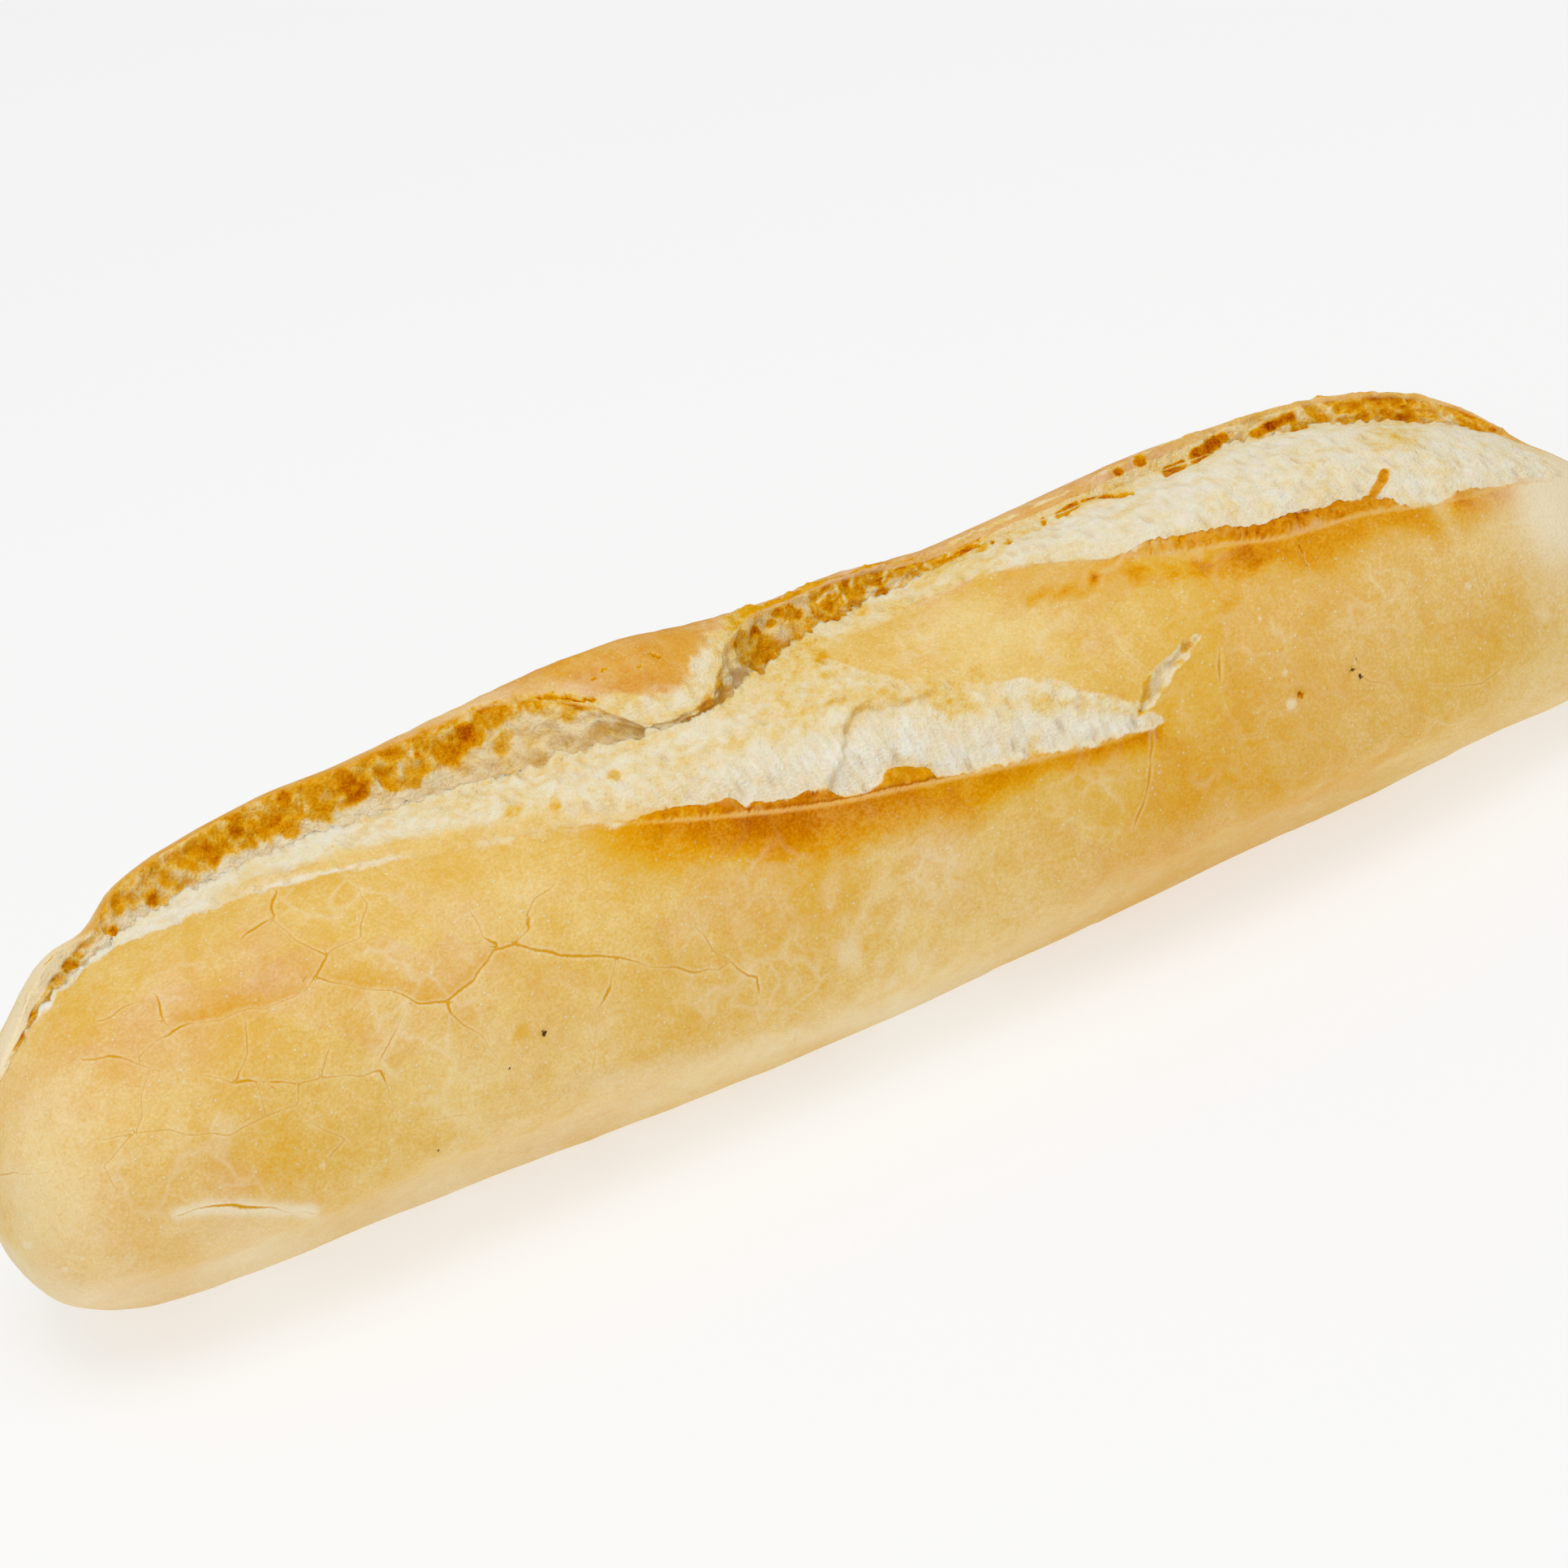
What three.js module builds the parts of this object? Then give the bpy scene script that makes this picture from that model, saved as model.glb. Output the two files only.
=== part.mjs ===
// A short, pale baguette: one solid of bread, with its crust, its opened cuts and its raised ear.
// The loaf lies along X on its flat base. +Z is up, and -Y is the side that the cuts lean to.
// A section is a rounded arch, and a place on it is an angle in degrees: 0 is the front,
// 90 the top, 180 the back and 270 the middle of the base.

import * as THREE from 'three';

// ---- Driving dimensions, in millimetres and degrees
const LENGTH = 274;
const HALF_WIDTH = 33;
const CROWN_HEIGHT = 54.5;
const WIDEST_HEIGHT = 22;
const TIP_HEIGHT = 20;
const ARCH_POWER = 2.2; // 2 is an ellipse, and more is squarer
const MM_PER_DEGREE = 0.55; // width of one degree of crust near the top
const MIDDLE_Y = 1.31; // middle of the bowed loaf, moved onto the origin

// How the section shrinks to each end: (1 - share^power)^(1 / bluntness)
const LEFT_END = { power: 5.4, bluntness: 2.9 };
const RIGHT_END = { power: 5.0, bluntness: 1.45 };

// Each list below runs along the loaf as [x, value] stations, joined by a smooth curve.
// Sideways bow of the whole loaf
const BOW = [[-137, -4.5], [-110, 0], [-75, 2.2], [-7, 0.7], [62, 0.8], [100, -0.5], [125, -4.5],
  [137, -8.5]];

// How far the arch would reach below the flat base: the less, the narrower the base
const BASE_CUT = [[-137, 2.5], [-116, 2.1], [-100, 1.3], [-78, 1.2], [-55, 1.7], [-35, 2.2], [10, 2],
  [35, 1.9], [50, 1.5], [66, 1.8], [82, 2.4], [137, 2.5]];

// The front below its widest line is tucked under in the middle and full at the ends.
const TUCK_ANGLE = -38;
const TUCK_SPREAD = 34;
const TUCK = [[-137, 4.5], [-134, 2], [-128, -2.8], [-118, -3.7], [-98, -3.4], [-75, -3.8],
  [-50, -2.8], [-25, -1.2], [15, -1.5], [50, -2.9], [80, -2.6], [100, 0.6], [112, 4.2], [122, 6],
  [137, 6]];

// The crevice along the top: angle of its near lip, its width and its depth
const NEAR_LIP = [[-137, 91], [-123, 92], [-112, 95.5], [-102, 96], [-92, 95], [-79, 93], [-70, 90],
  [-57, 86], [-47, 82.5], [-38, 81], [-31, 78.5], [-24, 74.5], [-15, 77], [-9, 80.5], [-1, 87],
  [4, 90.5], [21, 93.5], [28, 96], [35, 99.5], [43, 101], [52, 100.5], [68, 104.5], [79, 108],
  [90, 109], [105, 106], [117, 100], [137, 84]];
const GAP = [[-137, 4], [-120, 9], [-100, 15], [-80, 18], [-60, 20], [-45, 23], [-36, 20], [-31, 14],
  [-26, 5], [-16, 4], [-10, 10], [-3, 15], [6, 14], [20, 10], [29, 6], [38, 4], [55, 4], [70, 6],
  [82, 9], [100, 9], [116, 6], [137, 4]];
const DEPTH = [[-137, 0], [-131, 0.5], [-115, 5], [-95, 8], [-60, 9], [-40, 8], [-30, 6], [-24, 2.5],
  [-16, 3], [-8, 7], [6, 7], [20, 4.5], [30, 1], [40, 0.3], [56, 0.4], [68, 0.8], [76, 1.8],
  [84, 4.2], [95, 4.5], [110, 3], [121, 0], [137, 0]];
const GAP_FLOOR = 0.45; // share of the width at which the crevice is deepest

// The ear: the far crust, raised behind the crevice, by this much at this angle past its edge
const EAR_RISE = [[-137, 0], [-126, 0.1], [-120, 2.4], [-115, 2.7], [-109, 1.4], [-103, 4],
  [-95, 4.8], [-80, 5.1], [-62, 4.9], [-48, 5.6], [-36, 6.4], [-22, 6.9], [-10, 5.1], [2, 3.3],
  [15, 3.2], [29, 1.4], [45, 1.7], [60, 2.6], [78, 3.6], [92, 4.9], [104, 6.3], [112, 6.8], [118, 5],
  [124, 0.3], [137, 0]];
const EAR_LEAN = [[-137, 8], [-110, 4], [-60, 4], [-45, 6], [-37, 11], [-31, 17], [-25, 25], [-17, 24],
  [-9, 13], [0, 6], [8, 4], [22, 4], [38, 8], [60, 7], [80, 3], [115, 3], [137, 5]];
const EAR_FRONT_SPREAD = 26;
const EAR_BACK_SPREAD = 38;
const EAR_BACK_ANGLE = 152;

// Two cuts opened in the oven: the crust's raised rim, and the width of bared bread above it
const MIDDLE_RIM = [[-137, 84], [-122, 82], [-110, 83], [-98, 81], [-87, 79.5], [-74, 72], [-58, 62],
  [-50, 57.6], [-41, 52.5], [-28, 44], [-12, 35.6], [1, 31.1], [16, 26.2], [25, 23.6], [31, 21.7],
  [39, 20.5], [70, 20], [137, 20]];
const MIDDLE_WIDTH = [[-110, 6], [-60, 13], [-26, 15], [-5, 21], [5, 20], [12, 15], [27, 10.4],
  [34, 7.4], [39, 3]];
const RIGHT_RIM = [[-137, 88], [-110, 90], [-87, 87], [-58, 77], [-28, 66], [-12, 70], [1, 80],
  [7, 83], [14, 83], [22, 83.6], [28, 83], [38, 77.4], [48, 67.4], [56, 61.3], [63, 58.3],
  [71, 54.4], [78, 53.2], [86, 52.5], [94, 50.1], [102, 49.6], [110, 51.9], [115, 53.6], [137, 60]];
const RIGHT_WIDTH = [[27, 7.7], [46, 13.8], [62, 20], [76, 27], [93, 31], [114, 25]];
const MIDDLE_CUT = { from: -62, to: 40, rim: MIDDLE_RIM, width: MIDDLE_WIDTH, swell: 0.8 };
const RIGHT_CUT = { from: 22, to: 117, rim: RIGHT_RIM, width: RIGHT_WIDTH, swell: 1.7 };
const RIM_RISE = 1.3;
const RIM_REACH = 4; // how far down the crust the rim's lift dies away
const RIM_STEP = 3; // how far above the rim the bread is at its lowest
const RIM_DIP = 0.4;

// Crags of torn bread on the crevice's walls and lips
const CRAG_RISE = 0.7;

// Mesh: stations along the loaf, and rows across each stretch of the section
const STATIONS = 99;
const CRUST_ROWS = [0, 0.09, 0.18, 0.27, 0.36, 0.45, 0.54, 0.63, 0.72, 0.81, 0.89, 0.95];
const MIDDLE_CUT_ROWS = [0, 0.07, 0.16, 0.3, 0.45, 0.6, 0.75, 0.88, 0.96];
const RIGHT_CUT_ROWS = [0, 0.06, 0.15, 0.3, 0.45, 0.6, 0.75, 0.88];
const NEAR_WALL_ROWS = evenRows(4);
const FAR_WALL_ROWS = evenRows(5);
const EAR_ROWS = evenRows(9);
const BACK_ROWS = [...evenRows(10), 1];

function evenRows(count) {
  return Array.from({ length: count }, (_, i) => i / count);
}

function mix(a, b, share) {
  return a + (b - a) * share;
}

function ease(from, to, value) {
  const t = THREE.MathUtils.clamp((value - from) / (to - from), 0, 1);
  return t * t * (3 - 2 * t);
}

// Smooth curve through the stations, flat at both ends
function along(x, stations) {
  const last = stations.length - 1;
  const at = THREE.MathUtils.clamp(x, stations[0][0], stations[last][0]);
  let i = 0;
  while (i < last - 1 && at >= stations[i + 1][0]) i += 1;
  const slope = (k) => {
    if (k === 0 || k === last) return 0;
    return (stations[k + 1][1] - stations[k - 1][1]) / (stations[k + 1][0] - stations[k - 1][0]);
  };
  const span = stations[i + 1][0] - stations[i][0];
  const t = (at - stations[i][0]) / span;
  const start = stations[i][1] * (1 + 2 * t) * (1 - t) ** 2 + span * slope(i) * t * (1 - t) ** 2;
  const end = stations[i + 1][1] * t * t * (3 - 2 * t) - span * slope(i + 1) * t * t * (1 - t);
  return start + end;
}

// Share of the full section left at x
function taper(x) {
  const share = Math.min(Math.abs(x) / (LENGTH / 2), 1);
  const end = x < 0 ? LEFT_END : RIGHT_END;
  return (1 - share ** end.power) ** (1 / end.bluntness);
}

// The full arch, before taper and bow, as [y, z]
function arch(angle, baseCut) {
  const turn = THREE.MathUtils.degToRad(angle);
  const across = Math.abs(Math.cos(turn)) ** (2 / ARCH_POWER);
  const upright = Math.abs(Math.sin(turn)) ** (2 / ARCH_POWER);
  const y = -HALF_WIDTH * Math.sign(Math.cos(turn)) * across;
  if (Math.sin(turn) >= 0) return [y, WIDEST_HEIGHT + (CROWN_HEIGHT - WIDEST_HEIGHT) * upright];
  return [y, WIDEST_HEIGHT - (WIDEST_HEIGHT + baseCut) * upright];
}

// The arch pushed outwards by a distance
function archPushed(angle, baseCut, distance) {
  const [y, z] = arch(angle, baseCut);
  const [y0, z0] = arch(angle - 0.5, baseCut);
  const [y1, z1] = arch(angle + 0.5, baseCut);
  const span = Math.hypot(y1 - y0, z1 - z0);
  return [y - (distance * (z1 - z0)) / span, z + (distance * (y1 - y0)) / span];
}

// Angle of the front edge of the flat base, where the tapered arch meets z = 0
function baseAngle(size, baseCut) {
  const height = TIP_HEIGHT * (1 - 1 / Math.max(size, 0.001));
  const share = THREE.MathUtils.clamp((WIDEST_HEIGHT - height) / (WIDEST_HEIGHT + baseCut), 0, 0.99985);
  return -THREE.MathUtils.radToDeg(Math.asin(share ** (ARCH_POWER / 2)));
}

// Height of one opened cut over the crust
function cutRelief(x, angle, cut) {
  const share = (x - cut.from) / (cut.to - cut.from);
  if (share <= 0 || share >= 1) return 0;
  const depthHere = Math.sin(Math.PI * share) ** 0.6;
  const above = (angle - along(x, cut.rim)) * MM_PER_DEGREE;
  if (above <= 0) return depthHere * RIM_RISE * Math.exp(above / RIM_REACH);
  const width = along(x, cut.width);
  if (above > width) return 0;
  const step = mix(RIM_RISE, -RIM_DIP, ease(0, RIM_STEP, above));
  const recovery = RIM_DIP * ease(RIM_STEP, width * 0.45, above);
  return depthHere * (step + recovery + cut.swell * Math.sin((Math.PI * above) / width));
}

function crustRelief(x, angle, baseEdge) {
  const spread = THREE.MathUtils.clamp((angle - TUCK_ANGLE) / TUCK_SPREAD, -1, 1);
  const tuck = along(x, TUCK) * Math.cos((spread * Math.PI) / 2) ** 2 * ease(baseEdge, baseEdge + 12, angle);
  return tuck + cutRelief(x, angle, MIDDLE_CUT) + cutRelief(x, angle, RIGHT_CUT);
}

// Lift of the ear at an angle, highest a little behind its edge
function earRelief(x, angle, earEdge) {
  const past = angle - earEdge - along(x, EAR_LEAN);
  const spread = past < 0 ? EAR_FRONT_SPREAD : EAR_BACK_SPREAD;
  return along(x, EAR_RISE) * Math.cos((THREE.MathUtils.clamp(past / spread, -1, 1) * Math.PI) / 2) ** 2;
}

// Three waves that never fall in step make the uneven torn bread.
function crag(x, row) {
  const long = 0.4 * Math.sin(x / 3.9 + row * 0.7 + 2);
  const middle = 0.35 * Math.sin(x / 2.3 + row * 1.7);
  const short = 0.25 * Math.sin(x / 1.6 - row * 2.3 + 1);
  return CRAG_RISE * (long + middle + short);
}

// One section: its points from the front base edge, over the top, to the back base edge
function sectionPoints(x) {
  const size = taper(x);
  const baseCut = along(x, BASE_CUT);
  const baseEdge = baseAngle(size, baseCut);
  const middleRim = along(x, MIDDLE_RIM);
  const rightRim = along(x, RIGHT_RIM);
  const nearLip = along(x, NEAR_LIP);
  const earEdge = nearLip + along(x, GAP);
  const open = along(x, DEPTH);
  const rough = Math.min(open / 3, 1);
  const onCrust = (angle, lift = 0) => archPushed(angle, baseCut, crustRelief(x, angle, baseEdge) + lift);
  const onEar = (angle, lift = 0) => archPushed(angle, baseCut, earRelief(x, angle, earEdge) + lift);
  const lipPoint = onCrust(nearLip, rough * crag(x, 0));
  const floorPoint = archPushed(mix(nearLip, earEdge, GAP_FLOOR), baseCut, -open);
  const edgePoint = onEar(earEdge, rough * crag(x, 9));
  const points = [];
  CRUST_ROWS.forEach((share) => points.push(onCrust(mix(baseEdge, middleRim, share))));
  MIDDLE_CUT_ROWS.forEach((share) => points.push(onCrust(mix(middleRim, rightRim, share))));
  RIGHT_CUT_ROWS.forEach((share) => points.push(onCrust(mix(rightRim, nearLip, share))));
  NEAR_WALL_ROWS.forEach((share, row) => {
    const bulge = row > 0 ? 0.5 * rough * crag(x, row) : 0;
    const y = mix(lipPoint[0], floorPoint[0], share ** 1.4);
    points.push([y, mix(lipPoint[1], floorPoint[1], share) + bulge]);
  });
  FAR_WALL_ROWS.forEach((share, row) => {
    const bulge = row > 0 ? rough * crag(x, row + 4) : 0;
    const z = mix(floorPoint[1], edgePoint[1], share ** 1.1);
    points.push([mix(floorPoint[0], edgePoint[0], share) + bulge, z]);
  });
  EAR_ROWS.forEach((share, row) => {
    points.push(row === 0 ? edgePoint : onEar(mix(earEdge, EAR_BACK_ANGLE, share)));
  });
  BACK_ROWS.forEach((share) => points.push(onEar(mix(EAR_BACK_ANGLE, 180 - baseEdge, share))));
  const bow = along(x, BOW) - MIDDLE_Y;
  return points.map(([y, z], row) => {
    const height = TIP_HEIGHT + size * (z - TIP_HEIGHT);
    const onBase = (row === 0 || row === points.length - 1) && height < 0.01;
    return new THREE.Vector3(x, size * y + bow, onBase ? 0 : Math.max(height, 0));
  });
}

// The rings of points joined into one closed skin, with a fan round each tip
function loafGeometry() {
  const rings = [];
  for (let i = 1; i <= STATIONS; i += 1) {
    rings.push(sectionPoints((-LENGTH / 2) * Math.cos((Math.PI * i) / (STATIONS + 1))));
  }
  const around = rings[0].length;
  const tipAt = (x) => new THREE.Vector3(x, along(x, BOW) - MIDDLE_Y, TIP_HEIGHT);
  const tips = [tipAt(-LENGTH / 2), tipAt(LENGTH / 2)];
  const points = [...rings.flat(), ...tips];
  const leftTip = points.length - 2;
  const rightTip = points.length - 1;
  const lastRing = (STATIONS - 1) * around;
  const faces = [];
  for (let row = 0; row < around; row += 1) {
    const next = (row + 1) % around;
    faces.push(leftTip, row, next);
    for (let ring = 0; ring < lastRing; ring += around) {
      faces.push(ring + row, ring + around + row, ring + around + next);
      faces.push(ring + row, ring + around + next, ring + next);
    }
    faces.push(rightTip, lastRing + next, lastRing + row);
  }
  const geometry = new THREE.BufferGeometry().setFromPoints(points);
  geometry.setIndex(faces);
  geometry.computeVertexNormals();
  return geometry;
}

const crust = new THREE.MeshStandardMaterial({ color: 0xe3b670, roughness: 0.72, metalness: 0 });
const loaf = new THREE.Mesh(loafGeometry(), crust);
loaf.name = 'loaf';

const baguette = new THREE.Group();
baguette.add(loaf);

export default baguette;
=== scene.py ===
import math
from functools import partial
from types import SimpleNamespace
import bpy
import numpy as np
from mathutils import Matrix, Vector


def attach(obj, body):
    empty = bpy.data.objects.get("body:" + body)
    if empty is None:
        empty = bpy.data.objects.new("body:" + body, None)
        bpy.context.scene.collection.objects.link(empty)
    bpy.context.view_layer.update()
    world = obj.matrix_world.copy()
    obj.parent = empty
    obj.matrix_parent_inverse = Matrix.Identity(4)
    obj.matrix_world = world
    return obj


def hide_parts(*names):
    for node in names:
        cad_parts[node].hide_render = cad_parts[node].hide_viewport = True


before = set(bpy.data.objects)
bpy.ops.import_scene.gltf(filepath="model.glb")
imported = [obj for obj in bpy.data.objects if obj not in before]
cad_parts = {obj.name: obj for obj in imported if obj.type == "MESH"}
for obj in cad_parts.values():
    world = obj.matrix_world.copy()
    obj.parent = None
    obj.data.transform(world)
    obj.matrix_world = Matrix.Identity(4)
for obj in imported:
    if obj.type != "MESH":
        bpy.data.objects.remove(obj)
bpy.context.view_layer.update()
bpy.ops.object.select_all(action="DESELECT")


# ---- Camera
# A long lens looks down on the loaf from its front left and is rolled, so that the loaf climbs
# across the frame. Marks on the front crust are placed by where this camera sees them.
FRAME_PIXELS = 1932
VIEW_AZIMUTH = math.radians(-20)
VIEW_ELEVATION = math.radians(25)
VIEW_ROLL = math.radians(-14.31)
VIEW_DISTANCE = 0.9
LENS = 140.66
SENSOR = 36
LOAF_MIDDLE = Vector((0, -0.00131, 0.025))
AIM_RIGHT = -0.00747
AIM_UP = 0.00579

view_back = Vector((
    math.sin(VIEW_AZIMUTH) * math.cos(VIEW_ELEVATION),
    -math.cos(VIEW_AZIMUTH) * math.cos(VIEW_ELEVATION),
    math.sin(VIEW_ELEVATION),
))
level_right = Vector((0, 0, 1)).cross(view_back).normalized()
level_up = view_back.cross(level_right)
view_right = level_right * math.cos(VIEW_ROLL) + level_up * math.sin(VIEW_ROLL)
view_up = level_up * math.cos(VIEW_ROLL) - level_right * math.sin(VIEW_ROLL)
eye = LOAF_MIDDLE + view_right * AIM_RIGHT + view_up * AIM_UP + view_back * VIEW_DISTANCE
view_turn = Matrix((view_right, view_up, view_back)).transposed()

bpy.ops.object.camera_add()
camera = bpy.context.object
camera.name = "camera"
camera.data.lens = LENS
camera.data.sensor_width = SENSOR
camera.matrix_world = Matrix.Translation(eye) @ view_turn.to_4x4()
bpy.context.scene.camera = camera


def seen_at(points):
    """Where the camera sees points given in millimetres, in its pixels from the top left."""
    away = points / 1000 - np.array(eye)
    scale = LENS / SENSOR * FRAME_PIXELS / -(away @ np.array(view_back))
    across = FRAME_PIXELS / 2 + scale * (away @ np.array(view_right))
    down = FRAME_PIXELS / 2 - scale * (away @ np.array(view_up))
    return np.stack([across, down], axis=-1)


# ---- The loaf's form
# One piece of dough, proved and baked on a flat tray: a rounded arch on a flat base, with blunt
# ends. The lists run along the loaf as (x, value) in millimetres and degrees round the section,
# where 0 is the front, 90 the top and 180 the back, and they are those of the solid.
LENGTH = 274
HALF_WIDTH = 33
CROWN_HEIGHT = 54.5
WIDEST_HEIGHT = 22
TIP_HEIGHT = 20
# How far the arch would go on below the table
BASE_CUT = [
    (-137, 2.5), (-116, 2.1), (-100, 1.3), (-78, 1.2), (-55, 1.7), (-35, 2.2), (10, 2), (35, 1.9),
    (50, 1.5), (66, 1.8), (82, 2.4), (137, 2.5),
]
ARCH_POWER = 2.2
MM_PER_DEGREE = 0.55
MIDDLE_Y = 1.31
# How late each end starts to taper, and how blunt it is
LEFT_END = (5.4, 2.9)
RIGHT_END = (5.0, 1.45)
# How far the loaf's middle bends back, and how far its lower front bulges or is tucked in
BOW = [(-137, -4.5), (-110, 0), (-75, 2.2), (-7, 0.7), (62, 0.8), (100, -0.5), (125, -4.5), (137, -8.5)]
TUCK_ANGLE = -38
TUCK_SPREAD = 34
TUCK = [
    (-137, 4.5), (-134, 2), (-128, -2.8), (-118, -3.7), (-98, -3.4), (-75, -3.8), (-50, -2.8),
    (-25, -1.2), (15, -1.5), (50, -2.9), (80, -2.6), (100, 0.6), (112, 4.2), (122, 6), (137, 6),
]


def along(x, stations):
    """Smooth curve through the stations, flat at both ends."""
    at, value = np.array(stations, float).T
    slope = np.zeros(len(at))
    slope[1:-1] = (value[2:] - value[:-2]) / (at[2:] - at[:-2])
    x = np.clip(x, at[0], at[-1])
    i = np.clip(np.searchsorted(at, x, side="right") - 1, 0, len(at) - 2)
    span = at[i + 1] - at[i]
    t = (x - at[i]) / span
    start = value[i] * (1 + 2 * t) * (1 - t) ** 2 + span * slope[i] * t * (1 - t) ** 2
    end = value[i + 1] * t * t * (3 - 2 * t) - span * slope[i + 1] * t * t * (1 - t)
    return start + end


def ease(low, high, value):
    """0 at low and 1 at high, smoothly; low may be the greater of the two."""
    t = np.clip((value - low) / (high - low), 0, 1)
    return t * t * (3 - 2 * t)


def mix(a, b, share):
    return a + (b - a) * share


def taper(x):
    """Share of the full section left at x."""
    share = np.minimum(np.abs(x) / (LENGTH / 2), 1)
    power = np.where(x < 0, LEFT_END[0], RIGHT_END[0])
    bluntness = np.where(x < 0, LEFT_END[1], RIGHT_END[1])
    return (1 - share ** power) ** (1 / bluntness)


def arch(angle, base_cut):
    """The full arch before taper and bow, as y and z."""
    turn = np.radians(angle)
    across = np.abs(np.cos(turn)) ** (2 / ARCH_POWER)
    upright = np.abs(np.sin(turn)) ** (2 / ARCH_POWER)
    y = -HALF_WIDTH * np.sign(np.cos(turn)) * across
    above = WIDEST_HEIGHT + (CROWN_HEIGHT - WIDEST_HEIGHT) * upright
    below = WIDEST_HEIGHT - (WIDEST_HEIGHT + base_cut) * upright
    return np.stack([y, np.where(np.sin(turn) >= 0, above, below)], axis=-1)


def arch_pushed(angle, base_cut, distance):
    """The arch pushed outwards by a distance."""
    ahead = arch(angle + 0.5, base_cut) - arch(angle - 0.5, base_cut)
    outwards = np.stack([-ahead[..., 1], ahead[..., 0]], axis=-1)
    outwards = outwards / np.linalg.norm(outwards, axis=-1, keepdims=True)
    return arch(angle, base_cut) + outwards * distance[..., None]


def base_angle(size, base_cut):
    """Angle of the front edge of the flat base, where the tapered arch meets the table."""
    height = TIP_HEIGHT * (1 - 1 / np.maximum(size, 0.001))
    share = np.clip((WIDEST_HEIGHT - height) / (WIDEST_HEIGHT + base_cut), 0, 0.99985)
    return -np.degrees(np.arcsin(share ** (ARCH_POWER / 2)))


# ---- Unevenness of dough and torn bread
# Dough is never even: its bulges, blisters, fibres and pores come from two kinds of noise, soft
# waves and scattered round cells, both worked out from the place alone, so each run is the same.
def draw(cell, seed):
    """An even draw from 0 to 1 for each whole-numbered cell."""
    n = cell[..., 0] * 73856093 ^ cell[..., 1] * 19349663 ^ cell[..., 2] * 83492791 ^ seed * 40503
    n = (n ^ n >> 13) * 1274126177 & 0xFFFFFFFF
    n = (n ^ n >> 15) * 2246822519 & 0xFFFFFFFF
    return ((n ^ n >> 16) & 0xFFFFFF) / 0xFFFFFF


def waves(points, size, seed):
    """Soft noise from -1 to 1, with bumps about size apart."""
    place = points / size
    cell = np.floor(place).astype(np.int64)
    t = place - cell
    t = t * t * (3 - 2 * t)
    total = 0
    for corner in np.ndindex(2, 2, 2):
        share = np.prod(np.where(corner, t, 1 - t), axis=-1)
        total = total + share * draw(cell + np.array(corner), seed)
    return 2 * total - 1


def line_waves(x, size, seed):
    """Soft noise along a line."""
    return waves(np.stack([x, 0 * x + 0.37 * size, 0 * x], axis=-1), size, seed)


def cells(points, size, seed):
    """Scattered round cells: the distance to the nearest centre, in sizes, and that cell's lot."""
    place = points / size
    home = np.floor(place).astype(np.int64)
    nearest = np.full(len(place), 9.0)
    lot = np.zeros(len(place))
    for step in np.ndindex(3, 3, 3):
        cell = home + np.array(step) - 1
        centre = cell + np.stack([draw(cell, seed + k) for k in range(3)], axis=-1)
        gap = np.linalg.norm(place - centre, axis=-1)
        lot = np.where(gap < nearest, draw(cell, seed + 3), lot)
        nearest = np.minimum(nearest, gap)
    return nearest, lot


# ---- The crevice and the ear
# The longest cut tore open along the top. Its near lip is bared bread, its floor is deep, and
# the crust on its far side lifted into an ear.
# The near lip's angle, the degrees from it to the ear's edge, and the floor's depth
NEAR_LIP = [
    (-137, 91), (-123, 92), (-112, 95.5), (-102, 96), (-92, 95), (-79, 93), (-70, 90), (-57, 86),
    (-47, 82.5), (-38, 81), (-31, 78.5), (-24, 74.5), (-15, 77), (-9, 80.5), (-1, 87), (4, 90.5),
    (21, 93.5), (28, 96), (35, 99.5), (43, 101), (52, 100.5), (68, 104.5), (79, 108), (90, 109),
    (105, 106), (117, 100), (137, 84),
]
GAP = [
    (-137, 4), (-120, 9), (-100, 15), (-80, 18), (-60, 20), (-45, 23), (-36, 20), (-31, 14), (-26, 5),
    (-16, 4), (-10, 10), (-3, 15), (6, 14), (20, 10), (29, 6), (38, 4), (55, 4), (70, 6), (82, 9),
    (100, 9), (116, 6), (137, 4),
]
DEPTH = [
    (-137, 0), (-131, 0.5), (-115, 5), (-95, 8), (-60, 9), (-40, 8), (-30, 6), (-24, 2.5), (-16, 3),
    (-8, 7), (6, 7), (20, 4.5), (30, 1), (40, 0.3), (56, 0.4), (68, 0.8), (76, 1.8), (84, 4.2), (95, 4.5),
    (110, 3), (121, 0), (137, 0),
]
GAP_FLOOR = 0.45
# The ear's height over the arch, and how many degrees past its edge it is highest
EAR_RISE = [
    (-137, 0), (-126, 0.1), (-120, 2.4), (-115, 2.7), (-109, 1.4), (-103, 4), (-95, 4.8), (-80, 5.1),
    (-62, 4.9), (-48, 5.6), (-36, 6.4), (-22, 6.9), (-10, 5.1), (2, 3.3), (15, 3.2), (29, 1.4), (45, 1.7),
    (60, 2.6), (78, 3.6), (92, 4.9), (104, 6.3), (112, 6.8), (118, 5), (124, 0.3), (137, 0),
]
EAR_LEAN = [
    (-137, 8), (-110, 4), (-60, 4), (-45, 6), (-37, 11), (-31, 17), (-25, 25), (-17, 24), (-9, 13),
    (0, 6), (8, 4), (22, 4), (38, 8), (60, 7), (80, 3), (115, 3), (137, 5),
]
EAR_FRONT_SPREAD = 26
EAR_BACK_SPREAD = 38
EAR_BACK_ANGLE = 152
LIP_TEETH = 1.1  # how far the torn lip wanders, in millimetres
EDGE_TEETH = 0.8


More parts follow.
